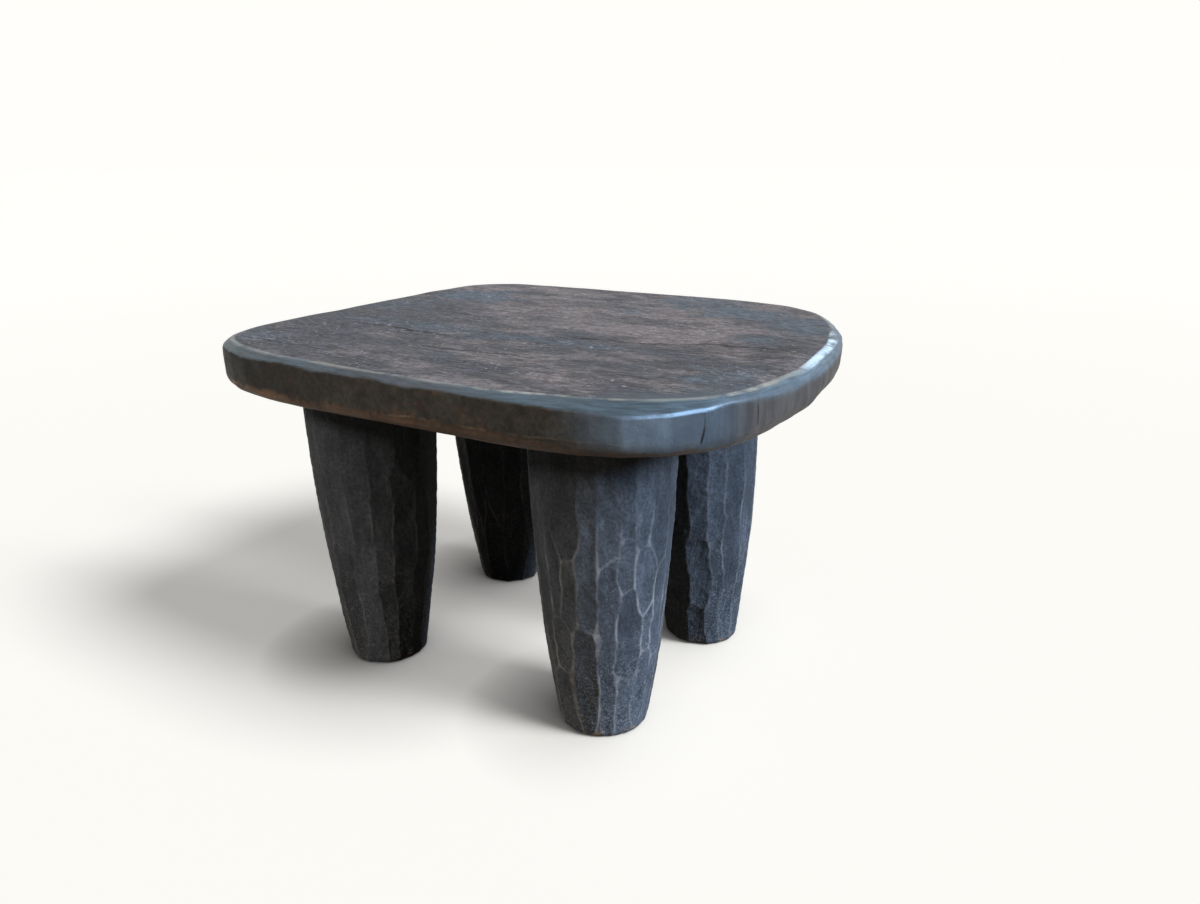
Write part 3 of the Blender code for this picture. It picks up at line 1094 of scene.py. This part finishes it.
    def hewn(self, outline: Array, seed: int) -> tuple[Array, Array]:
        """Replace the plan by flat facets, each about one length or one turn of the plan long.

        Args:
            outline: The smooth plan.
            seed: Number that picks where the facets end.

        Returns:
            The faceted plan, with as many points, and a tone from 0 to 1 that changes from facet to facet.
        """
        random = np.random.default_rng(seed)
        step = np.roll(outline, -1, axis=0) - outline
        heading = np.unwrap(np.arctan2(step[:, 1], step[:, 0]))
        turn = np.abs(np.diff(heading, append=heading[0] + TURN))
        measure = np.cumsum(np.hypot(*step.T) / self.facet_length + turn / self.facet_turn)
        count = int(measure[-1])
        stations = (np.arange(count) + 0.5 + random.uniform(-0.3, 0.3, count)) / count * measure[-1]
        ends = np.interp(stations, measure, np.arange(1, self.around + 1)) / self.around
        placed = np.array(self.corner_facets) + random.uniform(-0.0015, 0.0015, len(self.corner_facets))
        free = (ends < placed[0] - 0.01) | (ends > placed[-1] + 0.01)
        ends = np.sort(np.concatenate([ends[free], placed]))
        corners = self.walk(outline, ends)
        flat = np.stack([np.interp(self.shares, ends, corners[:, i], period=1.0) for i in range(2)], axis=1)
        tone = random.uniform(0.0, 1.0, len(ends) + 1)[np.searchsorted(ends, self.shares) % len(ends)]
        return round_smooth(flat, 1.0), round_smooth(tone, 0.8)

    @staticmethod
    def heading(outline: Array) -> Array:
        """The direction of a plan at each of its points, as unit vectors."""
        along = np.roll(outline, -3, axis=0) - np.roll(outline, 3, axis=0)
        return along / np.hypot(*along.T)[:, None]

    def inset(self, outline: Array, width: Array) -> Array:
        """Move a plan inward, square to its own direction, by a width for each point."""
        along = self.heading(outline)
        return outline + np.stack([-along[:, 1], along[:, 0]], axis=1) * width[:, None]

    def stretch(self, span: Span) -> Array:
        """Mark a stretch of the plan, which may pass the plan's start.

        Args:
            span: Shares of the way round where the mark starts, is full, starts to fade and ends.

        Returns:
            1 along the stretch and 0 elsewhere.
        """
        start, full, fade, end = span
        rising, falling = smooth_step(start, full, self.shares), 1.0 - smooth_step(fade, end, self.shares)
        return rising * falling if start < fade else np.maximum(rising, falling)

    def chamfer_size(self, name: str, ripple: Array) -> Array:
        """A size of the chamfer all round, blended between the places where it is set.

        Args:
            name: Which size.
            ripple: Unevenness, in shares of the size.

        Returns:
            The size in metres at each point of the plan.
        """
        marks = [place.share for place in self.chamfers]
        sizes = [getattr(place, name) for place in self.chamfers]
        return round_smooth(np.interp(self.shares, marks, sizes, period=1.0) * MM, 5.0) * (1.0 + ripple)

    def lines(self) -> SlabLines:
        """Lay out the plans that the skin runs between.

        Returns:
            The plans, and the sizes of the edges between them.
        """
        smooth = self.outline()
        ground = np.hstack([smooth, np.zeros((self.around, 1))])
        upper, tone = self.hewn(smooth, self.upper_seed)
        lower, _ = self.hewn(smooth, self.lower_seed)
        ripple = self.chamfer_ripple.at(ground)
        width, drop = self.chamfer_size("width", 0.06 * ripple), self.chamfer_size("drop", 0.08 * ripple)
        bevel = 1.0 + (self.left_bevel - 1.0) * self.stretch(self.left_end)
        bevel += (self.right_bevel - 1.0) * self.stretch(self.right_end)
        rise = self.bevel_rise * np.clip(1.0 + self.bevel_ripple.at(ground), 0.7, 1.3) * bevel
        rim = round_smooth(self.inset(smooth, width), 2.0)
        return SlabLines(smooth, rim, upper, lower, drop, rise, self.bevel_width * bevel, tone)

    def profile(self, lines: SlabLines) -> Array:
        """The skin as rings, from the middle of the top to the middle of the underside.

        The top and the underside are shares of the plans at their edges. The chamfer is a straight slope, the side
        runs between two faceted plans, and the lower edge is a quarter of an ellipse.

        Args:
            lines: The plans.

        Returns:
            The rings.
        """
        rows = []
        for share in steps(self.top_rows) ** 0.75:
            rows.append((lines.rim * share, self.top - self.hollow * (1.0 - share**2)))
        for share in steps(self.chamfer_rows):
            rows.append((lines.rim * (1.0 - share) + lines.upper * share, self.top - lines.drop * share))
        for share in steps(self.side_rows):
            height = (self.top - lines.drop) * (1.0 - share) + (self.underside + lines.rise) * share
            rows.append((lines.upper * (1.0 - share) + lines.lower * share, height))
        for swing in steps(self.bevel_rows) * TURN / 4.0:
            inset = self.inset(lines.smooth, lines.bevel * (1.0 - math.cos(swing))) - lines.smooth
            rows.append((lines.lower + inset, self.underside + lines.rise * (1.0 - math.sin(swing))))
        sole, _ = rows[-1]
        for share in np.linspace(1.0, 0.0, self.under_rows, endpoint=False)[1:]:
            rows.append((sole * share, self.underside))
        return np.stack([np.column_stack([plan, np.broadcast_to(height, self.around)]) for plan, height in rows])

    def marks(self, lines: SlabLines, rings: Array) -> dict[str, Array]:
        """The values that the finish reads.

        Args:
            lines: The plans.
            rings: The rings.

        Returns:
            At each point: distances along the profile from the rim, the arris and the bevel, a place along the edge,
            the tone of its facet, and the shares of corner, end grain and rounded end.
        """
        walked = np.zeros(rings.shape[:2])
        walked[1:] = np.linalg.norm(np.diff(rings, axis=0), axis=2).cumsum(axis=0)
        smooth = lines.smooth
        facing_end = np.abs(self.heading(smooth)[:, 1]) * smooth_step(-0.02, 0.06, smooth[:, 0])
        lap = np.hypot(*(smooth - np.roll(smooth, 1, axis=0)).T).sum() / TURN
        round_values = {
            "facet": lines.tone,
            "corner": smooth_step(0.14, 0.46, facing_end),
            "end_grain": smooth_step(0.84, 0.96, facing_end),
            "rounded": self.stretch(self.rounded_end),
        }
        values = {key: np.broadcast_to(value, walked.shape) for key, value in round_values.items()}
        for key, row in (("from_rim", self.rim_row), ("from_arris", self.arris_row), ("from_bevel", self.bevel_row)):
            values[key] = walked - walked[row]
        circle = (lap * np.cos(TURN * self.shares), lap * np.sin(TURN * self.shares), values["from_rim"])
        values["edge_way"] = np.stack(np.broadcast_arrays(*circle), axis=-1)
        return values

    def wear(self, rings: Array, smooth: Array, from_rim: Array) -> None:
        """Soften the edges, most of all at the rounded end, and make each face a little uneven.

        Args:
            rings: The rings, which are moved in place.
            smooth: The smooth plan.
            from_rim: How far each point is from the rim.
        """
        for _ in range(2):
            mean = (rings[:-2] + 2.0 * rings[1:-1] + rings[2:]) / 4.0
            rings[self.rim_row - 2 : self.sole_row - 1] = mean[self.rim_row - 3 : self.sole_row - 2]
        soft = rings.copy()
        for _ in range(self.rounding):
            soft[1:-1] = (soft[:-2] + 2.0 * soft[1:-1] + soft[2:]) / 4.0
        edge = slice(self.rim_row - 2, self.arris_row + 9)
        rings[edge] += (soft[edge] - rings[edge]) * self.stretch(self.rounded_end)[:, None]
        uneven = sum(ripple.at(rings) for ripple in self.top_ripples)
        rings[..., 2] += uneven * smooth_step(0.0, 0.02, -from_rim)
        on_side = smooth_step(0.0, 0.004, from_rim)
        on_side *= 1.0 - smooth_step(-0.002, 0.0, from_rim - from_rim[self.sole_row])
        outward = smooth / np.hypot(*smooth.T)[:, None]
        rings[..., :2] -= outward * (self.side_ripple.at(rings) * on_side)[..., None]

    def build(self, finish: bpy.types.Material) -> bpy.types.Object:
        """Make the slab and set it in the frame.

        Args:
            finish: Material to dress it with.

        Returns:
            The slab.
        """
        lines = self.lines()
        rings = self.profile(lines)
        values = self.marks(lines, rings)
        self.wear(rings, lines.smooth, values["from_rim"])
        piece = skin_object("worn_slab", rings, values)
        piece.data.materials.append(finish)
        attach(piece, BODY)
        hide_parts("seat")
        return piece


# Legs


@dataclass(frozen=True)
class Scoop:
    """One adze cut: where its middle is, its half-width and half-length, and how hollow it is.

    The angle is in degrees round the leg from +X, lengths are in millimetres, and a hollowness of 1 is flat.
    """

    angle: float
    height: float
    half_width: float
    half_length: float
    hollowness: float = 1.15


@dataclass
class Leg:
    """A bulging, tapering leg, cut by overlapping adze scoops that leave worn ridges between them.

    Its axis runs from the foot to the top, and the girth is added to every radius. Besides the scoops that are
    given, rows of scoops are cut over the open span of degrees round the leg.
    """

    corner: Corner
    foot: tuple[float, float]
    top: tuple[float, float]
    seed: int
    girth: float = 0.0
    scoops: tuple[Scoop, ...] = ()
    open_span: tuple[float, float] = (0.0, 360.0)
    foot_radius: float = 33.6 * MM
    belly_radius: float = 47.5 * MM
    belly_height: float = 122.0 * MM
    top_radius: float = 52.5 * MM
    foot_round: float = 5.5 * MM
    foot_tuck: float = 3.6 * MM
    facet_width: float = 19.0 * MM
    row_heights: tuple[float, ...] = (40.0, 165.0)
    row_lengths: tuple[float, ...] = (58.0, 105.0)
    overlap: float = 1.14
    ridge_width: float = 0.75 * MM
    ridge_share: float = 0.6
    rounded_ends: float = 0.15
    soft_edge: float = 0.08 * MM
    sway: tuple[Ripple, ...] = (Ripple(0.9 * MM, 0.040, 40), Ripple(0.35 * MM, 0.012, 41))
    lift: Ripple = Ripple(2.2 * MM, 0.03, 42)
    rough: Ripple = Ripple(0.10 * MM, 0.006, 43)
    wear: Ripple = Ripple(1.0, 0.06, 44)
    tone_seed: int = 45
    joint_gap: float = 0.3 * MM
    around: int = 400
    rows: int = 222
    cap_rows: int = 6

    def __post_init__(self) -> None:
        """Take the height of the shoulder from the underside of the frame's seat."""
        self.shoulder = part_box("seat")[0].z - self.joint_gap
        heights = (self.foot_round, self.belly_height, self.shoulder)
        radii = (self.foot_radius, self.belly_radius, self.top_radius)
        self.profile = np.poly1d(np.polyfit(heights, radii, 2))

    def all_scoops(self) -> list[Scoop]:
        """The cuts that are listed, and rows of cuts over the rest of the leg.

        Returns:
            Every cut on the leg.
        """
        random = np.random.default_rng(self.seed)
        found = list(self.scoops)
        start, end = self.open_span
        for row, (height, length) in enumerate(zip(self.row_heights, self.row_lengths)):
            radius = self.profile(height * MM) + self.girth
            count = max(1, round(math.radians(end - start) * radius / self.facet_width))
            pitch = (end - start) / count
            for column in range(count):
                turn, rise, wide, long, deep = random.uniform(-1.0, 1.0, 5)
                angle = start + pitch * (column + 0.5 + row % 2 * 0.5 + 0.14 * turn)
                half_width = math.radians(pitch) * radius / 2.0 / MM * (1.0 + 0.14 * wide)
                half_length = length * (1.0 + 0.20 * long)
                found.append(Scoop(angle, height + 12.0 * rise, half_width, half_length, 1.15 + 0.15 * deep))
        return found

    def cut(self, angle: Array, height: Array) -> tuple[Array, Array, Array]:
        """How deep the scoops cut at each point, and where a ridge is left between them.

        A scoop's depth is its middle's depth times 1 less the square of the share of its half-width and the fourth
        power of the share of its half-length. The deepest scoop wins. A ridge is left where no scoop reaches, and
        where the two deepest are almost equal.

        Args:
            angle: Angles round the leg in radians.
            height: Heights in metres.

        Returns:
            The depth in metres, the share of ridge from 0 to 1, and the tone of the cut from 0 to 1.
        """
        radius = self.profile(height) + self.girth
        points = np.stack([radius * np.cos(angle), radius * np.sin(angle), height], axis=-1)
        sway = sum(ripple.at(points, self.seed) for ripple in self.sway)
        lift = self.lift.at(points, self.seed)
        deepest = np.full(angle.shape, -1.0)
        second = np.full(angle.shape, -1.0)
        tone = np.zeros(angle.shape)
        scoops = self.all_scoops()
        tones = np.random.default_rng(self.seed + self.tone_seed).uniform(0.0, 1.0, len(scoops))
        for scoop, own_tone in zip(scoops, tones):
            half_width = scoop.half_width * self.overlap * MM
            half_length = scoop.half_length * self.overlap * MM
            across = (angle - math.radians(scoop.angle) + math.pi) % TURN - math.pi
            share = (across * radius + sway) / half_width
            run = (height + lift - scoop.height * MM) / half_length
            middle = scoop.hollowness * half_width**2 / (2.0 * radius)
            depth = middle * (1.0 - share**2 - run**4)
            second = np.maximum(second, np.minimum(deepest, depth))
            tone = np.where(depth > deepest, own_tone, tone)
            deepest = np.maximum(deepest, depth)
        worn = smooth_step(-0.6, 0.7, self.wear.at(points, self.seed))
        away, upright = self.from_crest(deepest - second, radius, height)
        crest = np.exp(-((away / self.ridge_width) ** 2)) * np.maximum(upright, self.rounded_ends)
        crest *= self.ridge_share * (0.40 + 0.60 * worn)
        web = (1.0 - smooth_step(-0.06 * MM, 0.10 * MM, deepest)) * self.rounded_ends
        web *= smooth_step(0.010, 0.040, height)
        depth = 0.5 * (deepest + np.sqrt(deepest**2 + self.soft_edge**2))
        return depth, np.maximum(crest, web), tone

    @staticmethod
    def from_crest(lead: Array, radius: Array, height: Array) -> tuple[Array, Array]:
        """How far each point is from the nearest crest: the lead of the deepest cut divided by the lead's slope.

        Args:
            lead: How much deeper the deepest cut is than the next, on a grid of heights by angles.
            radius: Radius at each point.
            height: Height at each point.

        Returns:
            The distances in metres, and how upright the crest is, from 0 for a level one to 1.
        """
        rise = np.abs(np.gradient(lead, height[:, 0], axis=0))
        round_step = TURN * radius / lead.shape[1]
        across = np.abs(lead - np.roll(lead, 1, axis=1)) / round_step
        near = range(-2, 3)
        rise, across = (np.maximum.reduce([np.roll(side, move, axis=1) for move in near]) for side in (rise, across))
        slope = np.maximum(np.hypot(rise, across), 0.02)
        return lead / slope, smooth_step(0.45, 0.85, across / slope)

    def rings(self) -> tuple[Array, dict[str, Array]]:
        """The skin as rings from the middle of the top, down the side and round the foot to the middle of the sole.

        The radius is the bulging profile less the scoops' depth, and the foot's edge is a quarter of an ellipse.

        Returns:
            The rings, and the share of ridge and the cut's tone at each point.
        """
        turn = np.linspace(0.0, TURN, self.around, endpoint=False)
        heights = np.linspace(self.shoulder, 0.0, self.rows)
        angle, height = np.meshgrid(turn, heights)
        depth, ridge, tone = self.cut(angle, height)
        radius = self.profile(height) + self.girth - depth
        tuck = np.sqrt(1.0 - np.clip(1.0 - height / self.foot_round, 0.0, 1.0) ** 2 * 0.98)
        radius -= (1.0 - tuck) * self.foot_tuck
        plan = np.stack([np.cos(angle), np.sin(angle), height], axis=-1)
        radius += self.rough.at(plan * (0.045, 0.045, 1.0), self.seed)
        sides = plan * np.stack([radius, radius, np.ones_like(radius)], axis=-1)
        shares = np.linspace(0.0, 1.0, self.cap_rows, endpoint=False)[1:, None, None]
        head = sides[:1] * shares
        head[..., 2] = self.shoulder
        sole = sides[-1:] * shares[::-1]
        sole[..., 2] = 0.0
        rings = np.concatenate([head, sides, sole])
        share = rings[..., 2] / self.shoulder
        rings[..., :2] += self.foot + np.subtract(self.top, self.foot) * share[..., None]
        blank = np.zeros((self.cap_rows - 1, self.around))
        values = {"ridge": ridge, "tone": tone}
        return rings, {key: np.concatenate([blank, value, blank]) for key, value in values.items()}

    def build(self, finish: bpy.types.Material) -> bpy.types.Object:
        """Make the leg and set it in the frame.

        Args:
            finish: Material to dress it with.

        Returns:
            The leg.
        """
        rings, values = self.rings()
        piece = skin_object(self.corner.value.replace("leg_", "hewn_leg_"), rings, values)
        piece.data.materials.append(finish)
        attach(piece, BODY)
        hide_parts(self.corner.value)
        return piece


FRONT_RIGHT_SCOOPS = (
    Scoop(-56, 190, 8.4, 50),
    Scoop(-40, 198, 5.4, 42),
    Scoop(-40, 147, 5.2, 22, 1.5),
    Scoop(-28, 200, 6.2, 40),
    Scoop(-23.5, 132, 7.5, 27, 1.4),
    Scoop(-36.5, 91, 8.7, 36, 1.4),
    Scoop(-18.5, 96, 5.3, 21, 1.5),
    Scoop(-18, 42, 6.2, 30),
    Scoop(-54.5, 122, 6.8, 42),
    Scoop(-72.5, 160, 7.8, 66),
    Scoop(-89.5, 121, 6.0, 28, 1.5),
    Scoop(-105, 137, 7.3, 35, 1.4),
    Scoop(-102, 81, 9.2, 24, 1.4),
    Scoop(-77, 55, 8.5, 39),
    Scoop(-55.5, 43, 5.6, 42),
    Scoop(-36.5, 28, 6, 28),
    Scoop(-9, 190, 8.3, 46),
    Scoop(-90, 200, 10.5, 47),
    Scoop(-110, 205, 8.5, 40),
    Scoop(-108, 30, 8.5, 30),
    Scoop(-4, 105, 7.5, 40),
    Scoop(-2, 30, 5.5, 34),
    Scoop(8, 165, 7.5, 95),
)

FRONT_LEFT_SCOOPS = (
    Scoop(-86, 178, 10.4, 74, 1.05),
    Scoop(-62, 182, 9.6, 70, 1.05),
    Scoop(-43, 170, 7.6, 72, 1.05),
    Scoop(-88, 66, 10.2, 52, 1.08),
    Scoop(-65, 58, 8.8, 62, 1.05),
    Scoop(-44, 62, 6.6, 60, 1.08),
    Scoop(-14, 212, 11.0, 42, 1.08),
    Scoop(-21.5, 118, 9.0, 62, 1.35),
    Scoop(-21, 36, 7.2, 44, 1.25),
    Scoop(0, 118, 8.3, 42, 1.3),
    Scoop(-2, 42, 7.0, 44, 1.25),
    Scoop(8, 196, 8.0, 48, 1.1),
    Scoop(20, 150, 8.4, 64, 1.15),
    Scoop(17, 46, 7.4, 50, 1.15),
    Scoop(-110, 172, 9.4, 62, 1.15),
    Scoop(-112, 60, 8.6, 60, 1.15),
)

BACK_RIGHT_SCOOPS = (
    Scoop(-86.5, 172, 9.2, 66, 1.2),
    Scoop(-91, 72, 9.2, 38, 1.3),
    Scoop(-97, 18, 8.0, 30, 1.2),
    Scoop(-64.5, 172, 8.3, 62, 1.2),
    Scoop(-65.5, 76, 9.8, 31, 1.35),
    Scoop(-70.5, 20, 8.4, 29, 1.25),
    Scoop(-46, 152, 7.8, 52, 1.2),
    Scoop(-45.5, 76, 7.2, 37, 1.3),
    Scoop(-48, 18, 6.2, 30, 1.2),
    Scoop(-46, 225, 8.0, 30, 1.1),
    Scoop(-27, 172, 9.2, 54, 1.2),
    Scoop(-28, 92, 9.6, 36, 1.3),
    Scoop(-29, 30, 7.4, 34, 1.2),
    Scoop(-3, 122, 8.8, 38, 1.25),
    Scoop(-5, 200, 9.6, 44, 1.15),
    Scoop(-6, 44, 8.0, 46, 1.2),
)

LEGS = (
    Leg(
        Corner.FRONT_RIGHT,
        foot=(0.0949, -0.0932),
        top=(0.0949, -0.0932),
        girth=1.8 * MM,
        seed=1,
        scoops=FRONT_RIGHT_SCOOPS,
        open_span=(4.0, 240.0),
        overlap=1.09,
        ridge_share=1.0,
        rounded_ends=0.9,
    ),
    Leg(
        Corner.FRONT_LEFT,
        foot=(-0.1189, -0.1031),
        top=(-0.1189, -0.1031),
        seed=2,
        scoops=FRONT_LEFT_SCOOPS,
        open_span=(30.0, 238.0),
        ridge_width=0.65 * MM,
    ),
    Leg(
        Corner.BACK_RIGHT,
        foot=(0.1054, 0.0643),
        top=(0.0922, 0.0643),
        seed=3,
        scoops=BACK_RIGHT_SCOOPS,
        open_span=(9.0, 253.0),
    ),
    Leg(Corner.BACK_LEFT, foot=(-0.1157, 0.0734), top=(-0.1192, 0.0681), girth=-1.9 * MM, seed=4),
)


# Studio


class Lit(Enum):
    """What a lamp shines on, as the floor's state in the lamp's list."""

    STOOL = "EXCLUDE"
    FLOOR = "INCLUDE"


@dataclass(frozen=True)
class Lamp:
    """A far soft lamp: its power and colour, the way it stands, its height and its width in degrees.

    A lamp that passes the slab throws shadows of the legs alone.
    """

    name: str
    lit: Lit
    power: float
    colour: Colour
    turn: float
    rise: float
    spread: float
    passes_slab: bool = False


@dataclass
class Studio:
    """A pale floor with a painted glow, soft cool window light from the right, even light all round, and the camera.
    """

    floor_size: float = 60.0
    floor_colour: Colour = (0.800, 0.794, 0.764)
    floor_glow: Colour = (0.400, 0.397, 0.386)
    far_glow: Colour = (0.432, 0.431, 0.422)
    glow_from: Point = (0.70, 0.08, 0.71)
    glow_reach: float = 0.08
    glow_power: float = 2.0
    far_from: tuple[float, float] = (0.6, 3.0)
    floor_bounce: Colour = (0.200, 0.190, 0.170)
    backdrop: Colour = (1.0, 0.992, 0.958)
    ambient: Colour = (0.045, 0.041, 0.036)
    lamps: tuple[Lamp, ...] = (
        Lamp("window", Lit.STOOL, 6.1, (0.700, 0.950, 1.350), 7.0, 26.5, 19.0),
        Lamp("front_fill", Lit.STOOL, 1.42, (0.970, 0.950, 0.920), -100.0, 34.0, 12.0),
        Lamp("high_floor_light", Lit.FLOOR, 2.35, (1.0, 1.0, 1.0), 4.0, 47.0, 21.0),
        Lamp("low_floor_light", Lit.FLOOR, 0.84, (1.0, 1.0, 1.0), 8.0, 28.0, 14.0, passes_slab=True),
    )
    eye: Point = (0.4007, -0.6088, 0.4109)
    eye_turn: float = 0.5391
    eye_pitch: float = 0.3189
    eye_roll: float = -0.0038
    focal_pixels: float = 893.9
    photo_width: float = 1200.0
    sensor_mm: float = 36.0

    @staticmethod
    def seen(graph: Graph) -> Value:
        """1 for rays that show the stage to the eye, straight or by a reflection, and 0 for those that light."""
        path = graph.results("ShaderNodeLightPath")
        return path["Is Camera Ray"] | path["Is Glossy Ray"] | path["Is Transmission Ray"]

    def build_floor(self) -> bpy.types.Object:
        """Make the floor, paler than the light it throws back, with a painted glow that lifts its shadow and dims by
        the legs.

        Returns:
            The floor.
        """
        half = self.floor_size / 2.0
        mesh = bpy.data.meshes.new("floor")
        corner_points = [(-half, -half, 0), (half, -half, 0), (half, half, 0), (-half, half, 0)]
        mesh.from_pydata(corner_points, [], [(0, 1, 2, 3)])
        floor = add_object("floor", mesh)
        material = bpy.data.materials.new("pale_floor")
        material.use_nodes = True
        graph = Graph(material.node_tree)
        seen = self.seen(graph)
        # Painted light: the glow lifts the floor's shadow; occlusion towards the right dims it by the legs as
        # painted contact shadow, and it is paler far off.
        towards = graph.result("ShaderNodeCombineXYZ", dict(enumerate(self.glow_from)))
        sky = {"Distance": self.glow_reach, "Normal": towards}
        open_sky = graph.result("ShaderNodeAmbientOcclusion", sky, "AO", samples=8)
        open_sky = graph.math("POWER", open_sky, self.glow_power)
        away = graph.vector("LENGTH", graph.result("ShaderNodeTexCoord", output="Object"))
        glow = away.step(*self.far_from).mix(self.floor_glow, self.far_glow)
        inputs = {
            "Base Color": seen.mix(self.floor_bounce, self.floor_colour),
            "Roughness": 1.0,
            "Specular IOR Level": 0.0,
            "Emission Color": (seen * open_sky).mix((0.0, 0.0, 0.0), glow),
            "Emission Strength": 1.0,
        }
        graph.fill(material.node_tree.nodes["Principled BSDF"], inputs)
        mesh.materials.append(material)
        return floor

    def build_world(self) -> None:
        """Set even light all round, which shows as a pale backdrop."""
        world = bpy.data.worlds.new("studio")
        world.use_nodes = True
        graph = Graph(world.node_tree)
        inputs = {"Color": self.seen(graph).mix(self.ambient, self.backdrop)}
        graph.fill(world.node_tree.nodes["Background"], inputs)
        bpy.context.scene.world = world

    def build_lamp(self, lamp: Lamp, floor: bpy.types.Object, slab: bpy.types.Object) -> bpy.types.Object:
        """Hang a soft lamp that shines on the stool or on the floor.

        Args:
            lamp: Its place and power.
            floor: The floor.
            slab: The seat.

        Returns:
            The lamp.
        """
        data = bpy.data.lights.new(lamp.name, "SUN")
        data.energy = lamp.power
        data.angle = math.radians(lamp.spread)
        data.color = lamp.colour
        turn, rise = math.radians(lamp.turn), math.radians(lamp.rise)
        towards = Vector((math.cos(rise) * math.cos(turn), math.cos(rise) * math.sin(turn), math.sin(rise)))
        hung = add_object(lamp.name, data)
        hung.rotation_euler = towards.to_track_quat("Z", "Y").to_euler()
        lit = bpy.data.collections.new(lamp.name)
        lit.objects.link(floor)
        lit.collection_objects[0].light_linking.link_state = lamp.lit.value
        hung.light_linking.receiver_collection = lit
        if lamp.passes_slab:
            clear = bpy.data.collections.new(lamp.name + "_passes")
            clear.objects.link(slab)
            clear.collection_objects[0].light_linking.link_state = "EXCLUDE"
            hung.light_linking.blocker_collection = clear
        return hung

    def build_camera(self) -> bpy.types.Object:
        """Set the camera at the photograph's viewpoint.

        Returns:
            The camera.
        """
        data = bpy.data.cameras.new("eye")
        data.sensor_fit = "HORIZONTAL"
        data.sensor_width = self.sensor_mm
        data.lens = self.focal_pixels / self.photo_width * self.sensor_mm
        data.clip_start = 0.01
        camera = add_object("eye", data)
        turn = Matrix.Rotation(self.eye_turn, 4, "Z")
        tip = Matrix.Rotation(TURN / 4.0 - self.eye_pitch, 4, "X")
        roll = Matrix.Rotation(self.eye_roll, 4, "Z")
        camera.matrix_world = Matrix.Translation(self.eye) @ turn @ tip @ roll
        bpy.context.scene.camera = camera
        return camera

    def build(self, slab: bpy.types.Object) -> None:
        """Set up the stage, the light and the camera.

        Args:
            slab: The seat, which one lamp passes.
        """
        bpy.context.scene.view_settings.view_transform = "Standard"
        floor = self.build_floor()
        self.build_world()
        for lamp in self.lamps:
            self.build_lamp(lamp, floor, slab)
        self.build_camera()


def corners(box: tuple[Vector, Vector]) -> list[list[float]]:
    """Turn a box into plain lists of numbers."""
    return [list(corner) for corner in box]


def main() -> None:
    """Build the pieces and the studio in order, and log each piece's count of faces."""
    logging.basicConfig(level=logging.INFO, format="%(name)s: %(message)s")
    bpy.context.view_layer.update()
    effects = Effects()
    slab = Seat().build(SeatWood().material(effects))
    LOG.info("%s: %d faces", slab.name, len(slab.data.polygons))
    leg_finish = LegWood().material(effects)
    for leg in LEGS:
        piece = leg.build(leg_finish)
        LOG.info("%s: %d faces", piece.name, len(piece.data.polygons))
    Studio().build(slab)


if __name__ == "__main__":
    main()
